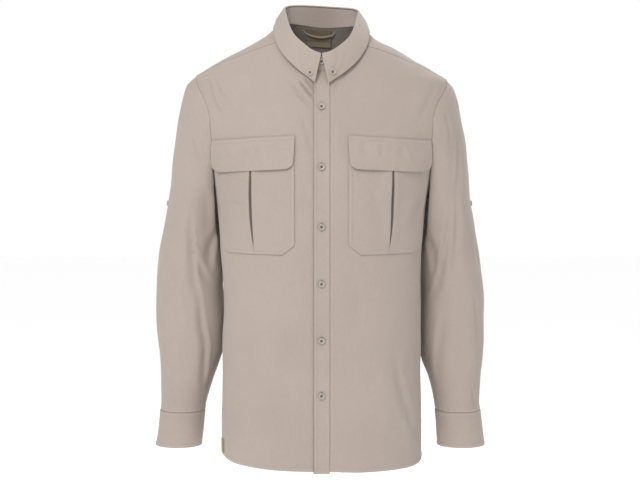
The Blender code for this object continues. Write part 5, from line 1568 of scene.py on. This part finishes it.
def flap_piece(side):
    """A pocket flap, sewn along its top and standing off the bag below."""
    rows = np.arange(len(FLAP))

    def value(name):
        return smooth(at, rows, column(FLAP, FLAP_COLUMNS, name))

    along = column(FLAP, FLAP_COLUMNS, "inner_level")
    drop = (along[0] - along) / (along[0] - along[-1])
    at = np.interp(grid_steps("flap_fall"), drop, rows)[:, None]
    t = grid_steps("flap_round")[None]
    outer_x, inner_x = value("outer"), value("inner")
    outer_level, inner_level = value("outer_level"), value("inner_level")
    x = side * (inner_x + (outer_x - inner_x) * t)
    level = inner_level + (outer_level - inner_level) * t
    lift = PATCH_GAP + value("rise") * (1.0 - 0.25 * ease(t, 0.6, 1.0))
    angle = front_angle(x, level)

    def relief(away):
        total = free_edges_relief(away, ["bottom"], TWO_LINES, roll=0.0004)
        total = total + free_edges_relief(away, ["start", "end", "top"], (FLAP_STITCH,))
        middle = -0.00035 * bell(x * side, 0.5 * (outer_x + inner_x), 0.0012) * ease(level, -0.245, -0.235)
        sag = 0.0009 * np.sin(2 * math.pi * t * 1.3 + 0.6 * side) * ease(at, 0.8, 4.0)
        hang = ease(at, 0.3, 1.2) * (1 - 0.5 * ease(at, 3.0, 4.0))
        creases = crease_rise(x, level, FLAP_CREASES, 1.0, 1.0)
        return np.clip(total, -0.0004, 0.0006) + middle + sag + creases * hang

    return laid(angle, level, lift + FLAP_CLOTH, relief, FLAP_CLOTH)


def label_piece():
    """A bare tab that hangs inside the back neck."""
    width = LABEL_RIGHT_X - LABEL_LEFT_X
    fall = LABEL_LEVELS[0] - LABEL_LEVELS[-1]
    x = LABEL_LEFT_X + width * edge_steps(width, 0.0020, near_start=False, near_end=False)
    levels = LABEL_LEVELS[0] - fall * edge_steps(fall, 0.0020, near_start=False, near_end=False)
    grid_x, level = np.meshgrid(x, levels)
    angle = math.pi - np.arcsin(grid_x / ring(level, "left"))

    def relief(away):
        fold = 0.0007 * bell(away["bottom"], 0.021, 0.0012)
        return -0.0002 * bell(away["top"], 0.0, 0.001) - fold

    def surface(height):
        return torso(angle, level, height - CLOTH - LABEL_GAP)

    return make_piece(surface, relief, LABEL_CLOTH)


def loop_piece():
    """A narrow strip across the label, held at both ends inside the back neck."""
    t = edge_steps(LOOP_LENGTH, 0.0025, near_start=False, near_end=False)
    drop = np.linspace(0.0, LOOP_WIDTH, 6)[:, None]
    x = LOOP_LEFT_X + LOOP_LENGTH * t
    level = LOOP_LEVEL - LOOP_SAG * np.sin(math.pi * t[None]) ** 0.5 - drop
    stand_off = CLOTH + LABEL_GAP + LOOP_BELLY * np.sin(math.pi * t[None]) ** 0.7
    angle = math.pi - np.arcsin(x[None] / ring(level, "left"))

    def relief(away):
        edge = np.minimum(away["bottom"], away["top"])
        return 0.0004 * ease(edge, 0.0, 0.0012)

    def surface(height):
        return torso(angle, level, -stand_off - height * 0.5)

    return make_piece(surface, relief, LOOP_CLOTH)


def side_label_piece():
    """A small folded tab at the right side seam above the hem."""
    turn = -np.radians(np.linspace(SIDE_LABEL_TURNS[0], SIDE_LABEL_TURNS[-1], 14))[None]
    level = np.linspace(SIDE_LABEL_LEVELS[0], SIDE_LABEL_LEVELS[-1], 20)[:, None]
    turn, level = np.broadcast_arrays(turn, level)

    def relief(away):
        edge = np.minimum(np.minimum(away["bottom"], away["top"]), away["end"])
        return -0.0003 * bell(edge, 0.0, 0.0008)

    return laid(turn, level, GAP + LABEL_CLOTH, relief, LABEL_CLOTH)


def lathe(profile, turns):
    """A closed round body from radius and height pairs; the first and last lie on the axis."""
    angles = 2 * math.pi * np.arange(turns) / turns
    vertices = [(0.0, 0.0, profile[0][1])]
    for radius, height in profile[1:-1]:
        vertices.extend((radius * math.cos(a), radius * math.sin(a), height) for a in angles)
    vertices.append((0.0, 0.0, profile[-1][1]))
    faces = [[0, 1 + (k + 1) % turns, 1 + k] for k in range(turns)]
    rings = len(profile) - 2
    for row in range(rings - 1):
        low = 1 + row * turns
        high = low + turns
        for k in range(turns):
            faces.append([low + k, low + (k + 1) % turns, high + (k + 1) % turns, high + k])
    last = 1 + (rings - 1) * turns
    faces.extend([last + k, last + (k + 1) % turns, len(vertices) - 1] for k in range(turns))
    return vertices, faces


def tube(path, radius, turns=7):
    """A closed round strand along a path."""
    path = np.asarray(path, float)
    ahead = unit(np.gradient(path, axis=0))
    side = unit(np.cross(ahead, np.array([0.31, 0.17, 0.93])))
    up = np.cross(side, ahead)
    angles = 2 * math.pi * np.arange(turns) / turns
    cosine = np.cos(angles)[None, :, None]
    sine = np.sin(angles)[None, :, None]
    ring_way = side[:, None] * cosine + up[:, None] * sine
    vertices = (path[:, None] + ring_way * radius).reshape(-1, 3).tolist()
    faces = []
    for row in range(len(path) - 1):
        for k in range(turns):
            low, high = row * turns, (row + 1) * turns
            faces.append([low + k, low + (k + 1) % turns, high + (k + 1) % turns, high + k])
    faces.append(list(range(turns))[::-1])
    faces.append([(len(path) - 1) * turns + k for k in range(turns)])
    return vertices, faces


def button_template(radius):
    """A rimmed button with four holes and crossed sewing thread, back at the origin, face along +Z."""
    height = BUTTON_HEIGHT * radius / BUTTON_RADIUS
    vertices, faces = lathe([(r * radius, h * height) for r, h in BUTTON_PROFILE], 40)
    disc = new_mesh_object("disc", vertices, faces, "button")
    hole_radius = BUTTON_HOLE_RADIUS * radius
    away = BUTTON_HOLE_AWAY * radius
    for sx in (-1, 1):
        for sy in (-1, 1):
            pin = [(0.0, -height), (hole_radius, -height), (hole_radius, 2 * height), (0.0, 2 * height)]
            pin_vertices, pin_faces = lathe(pin, 14)
            pin_vertices = [(x + sx * away, y + sy * away, z) for x, y, z in pin_vertices]
            cutter = new_mesh_object("pin", pin_vertices, pin_faces, "button")
            cut = disc.modifiers.new("hole", "BOOLEAN")
            cut.operation = "DIFFERENCE"
            cut.object = cutter
            cut.solver = "EXACT"
            solved = disc.evaluated_get(bpy.context.evaluated_depsgraph_get())
            settled = bpy.data.meshes.new_from_object(solved)
            disc.modifiers.remove(cut)
            disc.data = settled
            bpy.data.objects.remove(cutter, do_unlink=True)
    work = bmesh.new()
    work.from_mesh(disc.data)
    t = np.linspace(-1, 1, 11)
    for sx, sy, lift in ((1, 1, 0.0), (1, -1, 0.00028)):
        arch = height * 0.62 + lift + 0.00035 - 0.0014 * np.clip(np.abs(t) - 0.72, 0, None) * 4
        strand, strand_faces = tube(np.stack([sx * away * t, sy * away * t, arch], -1), 0.00042)
        made = [work.verts.new(v) for v in strand]
        for face in strand_faces:
            work.faces.new([made[k] for k in face]).material_index = 1
    mesh = bpy.data.meshes.new("button")
    work.to_mesh(mesh)
    work.free()
    bpy.data.objects.remove(disc, do_unlink=True)
    mesh.shade_smooth()
    mesh.set_sharp_from_angle(angle=math.radians(42))
    mesh.materials.clear()
    mesh.materials.append(MATERIALS["button"])
    mesh.materials.append(MATERIALS["thread"])
    return mesh


def node_points(name):
    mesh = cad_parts[name].data
    points = np.empty(len(mesh.vertices) * 3)
    mesh.vertices.foreach_get("co", points)
    return points.reshape(-1, 3)


def button_seat(name):
    """The back's middle, the way out and the radius of a button, from its solid."""
    points = node_points(name)
    middle = (points.max(0) + points.min(0)) / 2
    for _ in range(2):
        _, _, axes = np.linalg.svd(points - middle, full_matrices=False)
        out = axes[2]
        run = (points - middle) @ out
        middle = middle + out * (run.max() + run.min()) / 2
    run = (points - middle) @ out
    if run.mean() < 0:
        out = -out
    flat = points - middle - ((points - middle) @ out)[:, None] * out
    return middle - out * np.abs(run).max(), out, float(np.linalg.norm(flat, axis=1).max())


def place_button(name, place, out, radius, spin):
    size = round(radius, 4)
    if size not in BUTTON_MESHES:
        BUTTON_MESHES[size] = button_template(size)
    item = bpy.data.objects.new("dressed_" + name, BUTTON_MESHES[size])
    bpy.context.scene.collection.objects.link(item)
    turned = Vector(out).to_track_quat("Z", "Y").to_matrix().to_4x4() @ Matrix.Rotation(spin, 4, "Z")
    item.matrix_world = Matrix.Translation(Vector(place)) @ turned
    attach(item, "root")
    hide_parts(name)


def buttonhole(middle, along, across, out):
    """Close rows of thread down both sides of a slit."""
    run = (np.arange(HOLE_STITCHES) + 0.5) / HOLE_STITCHES * 2 - 1
    for sign in (-1, 1):
        points = middle + along * (run * HOLE_HALF_LENGTH)[:, None] + across * sign * HOLE_HALF_WIDTH
        ways = np.broadcast_to(across, points.shape)
        ups = np.broadcast_to(out, points.shape)
        THREADS.setdefault("holes", []).append((points, ways, ups, HOLE_STITCH_LENGTH))


def thread_object(group, name):
    """All the stitches of a group as one mesh of small grains."""
    pattern = []
    for k in range(4):
        nxt = (k + 1) % 4
        pattern.append([0, 2 + nxt, 2 + k])
        pattern.append([2 + k, 2 + nxt, 6 + nxt, 6 + k])
        pattern.append([1, 6 + k, 6 + nxt])
    vertices = []
    faces = []
    offset = 0
    for middle, ahead, up, length in THREADS[group]:
        side = unit(np.cross(up, ahead))
        wide, high = side * STITCH_WIDTH / 2, up * STITCH_HEIGHT
        points = [middle + ahead * length * share - up * STITCH_SINK for share in (-0.5, 0.5)]
        for share in (-STITCH_BELLY, STITCH_BELLY):
            points += [middle + ahead * length * share + way for way in (wide, high, -wide, -high)]
        grains = np.stack(points, axis=1)
        vertices.append(grains.reshape(-1, 3))
        for k in range(len(grains)):
            faces.extend([[offset + k * 10 + v for v in face] for face in pattern])
        offset += len(grains) * 10
    item = new_mesh_object(name, np.concatenate(vertices), faces, "thread", smooth_angle=80)
    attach(item, "root")
    return item


class Shader:
    """The nodes of a material or a world, joined by short calls."""

    def __init__(self, tree):
        self.nodes = tree.nodes
        self.links = tree.links

    def give(self, socket, value):
        if isinstance(value, bpy.types.NodeSocket):
            self.links.new(value, socket)
        else:
            socket.default_value = value

    def math(self, operation, one, two=None):
        node = self.nodes.new("ShaderNodeMath")
        node.operation = operation
        self.give(node.inputs[0], one)
        if two is not None:
            self.give(node.inputs[1], two)
        return node.outputs[0]

    def total(self, first, *others):
        for value in others:
            first = self.math("ADD", first, value)
        return first

    def split(self, vector):
        node = self.nodes.new("ShaderNodeSeparateXYZ")
        self.give(node.inputs[0], vector)
        return node.outputs

    def place(self, kind="Object"):
        return self.nodes.new("ShaderNodeTexCoord").outputs[kind]

    def mark(self, name):
        node = self.nodes.new("ShaderNodeAttribute")
        node.attribute_name = name
        return node.outputs["Fac"]

    def noise(self, place, scale, detail, roughness=0.55):
        node = self.nodes.new("ShaderNodeTexNoise")
        self.give(node.inputs["Vector"], place)
        self.give(node.inputs["Scale"], scale)
        self.give(node.inputs["Detail"], detail)
        self.give(node.inputs["Roughness"], roughness)
        return node.outputs["Fac"]

    def span(self, value, low, high, from_low=0.0, from_high=1.0):
        node = self.nodes.new("ShaderNodeMapRange")
        self.give(node.inputs["Value"], value)
        self.give(node.inputs["From Min"], from_low)
        self.give(node.inputs["From Max"], from_high)
        self.give(node.inputs["To Min"], low)
        self.give(node.inputs["To Max"], high)
        return node.outputs["Result"]

    def mix(self, factor, one, two):
        node = self.nodes.new("ShaderNodeMix")
        node.data_type = "RGBA"
        self.give(node.inputs["Factor"], factor)
        for name, value in (("A", one), ("B", two)):
            socket = [s for s in node.inputs if s.name == name and s.type == "RGBA"][0]
            self.give(socket, (*value, 1.0) if isinstance(value, tuple) else value)
        return [s for s in node.outputs if s.type == "RGBA"][0]

    def bump(self, height, strength, distance, under=None):
        node = self.nodes.new("ShaderNodeBump")
        self.give(node.inputs["Strength"], strength)
        self.give(node.inputs["Distance"], distance)
        self.give(node.inputs["Height"], height)
        if under is not None:
            self.give(node.inputs["Normal"], under)
        return node.outputs["Normal"]


def new_material(name, make, **look):
    """A material whose surface is given its values by one of the functions below."""
    made = bpy.data.materials.new(name)
    made.use_nodes = True
    shader = Shader(made.node_tree)
    surface = made.node_tree.nodes["Principled BSDF"].inputs
    for socket, value in make(shader, **look).items():
        shader.give(surface[socket], value)
    return made


def woven(shader, dark, light, worn, pitch, melange, rib=1.0, lighter_part=None):
    """A woven cloth: threads both ways, mixed yarn, soft wear at its edges, painted shade in seams, slits
    and inner faces, and a little sheen.
    """
    lie = shader.nodes.new("ShaderNodeUVMap")
    lie.uv_map = "lie"
    over, up, _ = shader.split(lie.outputs["UV"])
    place = shader.place()
    wave_turn = 2 * math.pi / pitch
    warp = shader.math("SINE", shader.math("MULTIPLY", over, wave_turn))
    weft = shader.math("SINE", shader.math("MULTIPLY", up, wave_turn * rib))
    weave = shader.math("MULTIPLY", warp, weft)
    coarse = shader.noise(place, scale=7.0, detail=3.0)
    fine = shader.noise(place, scale=1500.0, detail=2.0, roughness=0.7)
    slub = shader.nodes.new("ShaderNodeMapping")
    shader.give(slub.inputs["Scale"], (900.0, 900.0, 110.0))
    shader.give(slub.inputs["Vector"], place)
    yarn = shader.noise(slub.outputs["Vector"], scale=1.0, detail=2.0, roughness=0.6)
    blend = shader.total(
        shader.span(fine, -melange, melange, 0.3, 0.7),
        0.5,
        shader.span(coarse, -0.22, 0.22, 0.3, 0.7),
        shader.span(yarn, -melange, melange, 0.3, 0.7),
        shader.math("MULTIPLY", weave, 0.10),
    )
    ground = shader.mix(blend, dark, light)
    if lighter_part is not None:
        start, end, colour = lighter_part
        ground = shader.mix(shader.span(up, 0.0, 1.0, start, end), ground, colour)
    rub = shader.math("MULTIPLY", shader.mark("wear"), shader.span(coarse, 0.15, 0.55))
    ground = shader.mix(rub, ground, worn)
    # Painted shade from the shade mark, towards a tenth of the dark colour.
    ground = shader.mix(shader.mark("shade"), ground, tuple(0.10 * part for part in dark))
    crumple = shader.noise(place, scale=95.0, detail=4.0, roughness=0.6)
    normal = shader.bump(crumple, strength=0.22, distance=0.0009)
    normal = shader.bump(yarn, strength=0.16, distance=0.0003, under=normal)
    normal = shader.bump(weave, strength=0.30, distance=0.00014, under=normal)
    return {
        "Base Color": ground,
        "Roughness": shader.span(fine, 0.80, 0.94),
        "Normal": normal,
        "Sheen Weight": 0.18,
        "Sheen Roughness": 0.55,
        "Specular IOR Level": 0.25,
    }


def twisted(shader, dark, light):
    """Sewing thread."""
    twist = shader.noise(shader.place(), scale=1800.0, detail=2.0)
    return {
        "Base Color": shader.mix(twist, dark, light),
        "Normal": shader.bump(twist, strength=0.3, distance=0.0002),
        "Roughness": 0.62,
        "Sheen Weight": 0.10,
    }


def moulded(shader, dark, light):
    """A button with a faint cloudy grain and a satin face, with painted shade in its dish and at its rim."""
    place = shader.place()
    cloud = shader.noise(place, scale=260.0, detail=4.0)
    grain = shader.noise(place, scale=1900.0, detail=2.0)
    ground = shader.mix(shader.span(cloud, 0.0, 1.0, 0.3, 0.7), dark, light)
    squares = [shader.math("MULTIPLY", part, part) for part in shader.split(place)[:2]]
    away = shader.math("SQRT", shader.total(*squares))
    # Painted shade: a dark ring at the rim's outer edge and a dark dish round the holes.
    rim_shade = shader.span(away, 0.0, 0.85, 0.89 * BUTTON_RADIUS, 0.99 * BUTTON_RADIUS)
    dish_shade = shader.span(away, 0.80, 0.0, 0.30 * BUTTON_RADIUS, 0.46 * BUTTON_RADIUS)
    button_shade_colour = tuple(0.22 * part for part in dark)
    return {
        "Base Color": shader.mix(shader.math("MAXIMUM", rim_shade, dish_shade), ground, button_shade_colour),
        "Roughness": shader.span(grain, 0.34, 0.50),
        "Normal": shader.bump(grain, strength=0.10, distance=0.0002),
    }


def pale(shader):
    """The studio floor."""
    haze = shader.noise(shader.place(), scale=1.5, detail=2.0)
    return {
        "Base Color": shader.mix(haze, (0.975, 0.975, 0.975), (0.99, 0.99, 0.99)),
        "Roughness": 0.9,
        "Emission Color": (1.0, 1.0, 1.0, 1.0),
        "Emission Strength": 0.15,
    }


MATERIALS = {
    "cloth": new_material(
        "shirt_cloth",
        woven,
        dark=(0.336, 0.280, 0.245),
        light=(0.391, 0.328, 0.290),
        worn=(0.420, 0.356, 0.317),
        pitch=0.00052,
        melange=0.20,
    ),
    "thread": new_material("sewing_thread", twisted, dark=(0.27, 0.225, 0.197), light=(0.36, 0.303, 0.266)),
    "button": new_material("tonal_button", moulded, dark=(0.330, 0.280, 0.242), light=(0.420, 0.362, 0.318)),
    "label": new_material(
        "label_weave",
        woven,
        dark=(0.150, 0.118, 0.068),
        light=(0.215, 0.175, 0.108),
        worn=(0.26, 0.22, 0.14),
        pitch=0.00040,
        melange=0.15,
        rib=1.8,
        lighter_part=(0.022, 0.024, (0.260, 0.215, 0.150)),
    ),
    "side_label": new_material(
        "side_label_weave",
        woven,
        dark=(0.170, 0.130, 0.048),
        light=(0.240, 0.190, 0.075),
        worn=(0.28, 0.23, 0.11),
        pitch=0.00040,
        melange=0.15,
        rib=1.8,
    ),
    "floor": new_material("pale_floor", pale),
}


def dress(name, piece, material_name="cloth", around=False):
    """Make a piece's mesh and let it stand for its node."""
    item = shell("dressed_" + name, piece, material_name, around)
    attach(item, "root")
    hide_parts(name)
    return item


def build():
    """Every sheet of the shirt with its stitches."""
    for word, side in SIDES:
        piece = front_piece(side)
        sew("body", piece, ["bottom"], [HEM_STITCH])
        sew("body", piece, ["end"], TWO_LINES, piece["below"])
        dress("front_" + word, piece)

    piece = back_piece()
    sew("body", piece, ["bottom"], [HEM_STITCH])
    sew("body", piece, ["start", "end"], TWO_LINES, piece["below"])
    dress("back", piece)

    loop = dress("hanger_loop", loop_piece())
    piece = yoke_piece()
    columns = piece["columns"]
    sew("body", piece, ["top", "start", "end"], TWO_LINES)
    sew("body", piece, ["bottom"], TWO_LINES, 0, columns)
    sew("body", piece, ["bottom"], TWO_LINES, -columns, None)
    dress("yoke", piece)

    for word, side in SIDES:
        dress("sleeve_" + word, sleeve_piece(side), around=True)

        piece = cuff_piece(side)
        sew("trim", piece, ["bottom"], [TOPSTITCH_NEAR, CUFF_STITCH])
        sew("trim", piece, ["top", "start", "end"], [TOPSTITCH_FAR])
        dress("cuff_" + word, piece)

        piece = sleeve_placket_piece(side)
        sew("trim", piece, ["start", "end", "top"], [TOPSTITCH_NEAR])
        dress("sleeve_placket_" + word, piece)

        piece = bag_piece(side)
        sew("trim", piece, ["start", "end", "top"], TWO_LINES)
        dress("pocket_" + word, piece)

        piece = flap_piece(side)
        sew("trim", piece, ["bottom"], TWO_LINES)
        sew("trim", piece, ["start", "end", "top"], [FLAP_STITCH])
        dress("pocket_flap_" + word, piece)

    piece = placket_piece()
    sew("trim", piece, ["start"], [PLACKET_STITCH])
    sew("trim", piece, ["end"], [TOPSTITCH_NEAR])
    dress("placket", piece)

    piece = stand_piece()
    sew("trim", piece, ["bottom"], [TOPSTITCH_NEAR])
    dress("collar_stand", piece)

    piece = leaf_piece()
    sew("trim", piece, ["top", "start", "end"], [LEAF_STITCH])
    dress("collar_leaf", piece)

    dress("neck_label", label_piece(), "label")
    dress("side_label", side_label_piece(), "side_label")


def fasten():
    """Buttons in their holes, with the holes' thread round them."""
    middle = np.array([0.0])
    for number, level in enumerate(FRONT_BUTTON_LEVELS, 1):
        level = np.array([level])
        place = body(middle, level, 2 * GAP + BAND_CLOTH - BUTTON_SINK)[0]
        out = torso_normal(middle, level)[0]
        place_button(f"button_front_{number}", place, out, BUTTON_RADIUS, 0.2 * number)
        along = unit(body(middle, level + 0.002)[0] - body(middle, level - 0.002)[0])
        across = unit(np.cross(along, out))
        buttonhole(body(middle, level, GAP + BAND_CLOTH)[0] + out * HOLE_RISE, along, across, out)
    for number, name in enumerate(("stand", "point_left", "point_right", "cuff_left", "cuff_right")):
        place, out, radius = button_seat("button_" + name)
        place_button("button_" + name, place, out, radius, 0.3 + 0.35 * number)
    part, station = np.array([TAB_BUTTON_PART]), np.array([TAB_BUTTON_STATION])
    for word, side in SIDES:
        out = sleeve_normal(part, station, side)[0]
        place = arm(part, station, side, GAP)[0]
        place_button("button_tab_" + word, place, out, TAB_BUTTON_RADIUS, 0.5)
    thread_object("body", "stitches_body")
    thread_object("trim", "stitches_trim")
    thread_object("holes", "stitches_buttonholes")


def light_area(name, place, power):
    """A square lamp that looks at the middle of the shirt."""
    lamp = bpy.data.lights.new(name, "AREA")
    lamp.shape = "SQUARE"
    lamp.size = LAMP_SIZE
    lamp.energy = power
    item = bpy.data.objects.new(name, lamp)
    item.location = place
    item.rotation_euler = (Vector(LAMP_AIM) - Vector(place)).to_track_quat("-Z", "Y").to_euler()
    bpy.context.scene.collection.objects.link(item)


def set_stage():
    """World, floor, lamps and camera."""
    scene = bpy.context.scene
    world = bpy.data.worlds.new("studio")
    world.use_nodes = True
    shader = Shader(world.node_tree)
    sideways = shader.math("ABSOLUTE", shader.split(shader.place("Generated"))[0])
    background = world.node_tree.nodes["Background"].inputs
    shader.give(background["Color"], shader.span(sideways, 1.0, SIDE_LIGHT, *SIDE_LIGHT_SPAN))
    shader.give(background["Strength"], 1.0)
    scene.world = world

    mesh = bpy.data.meshes.new("floor")
    ends = [(-1, -1), (1, -1), (1, 1), (-1, 1)]
    corners = [(x * FLOOR_REACH, y * FLOOR_REACH, FLOOR_LEVEL) for x, y in ends]
    mesh.from_pydata(corners, [], [[0, 1, 2, 3]])
    floor = bpy.data.objects.new("floor", mesh)
    floor.data.materials.append(MATERIALS["floor"])
    scene.collection.objects.link(floor)

    light_area("key", (-1.15, -2.8, 2.0), 72.0)
    light_area("fill", (1.8, 2.6, 1.6), 48.0)
    camera = bpy.data.cameras.new("camera")
    camera.lens = CAMERA_LENS
    camera.sensor_width = CAMERA_SENSOR
    view = bpy.data.objects.new("camera", camera)
    view.location = CAMERA_PLACE
    view.rotation_euler = (math.radians(90.0) - CAMERA_DIP, 0.0, 0.0)
    scene.collection.objects.link(view)
    scene.camera = view
    scene.view_settings.view_transform = "Standard"


build()
fasten()
set_stage()
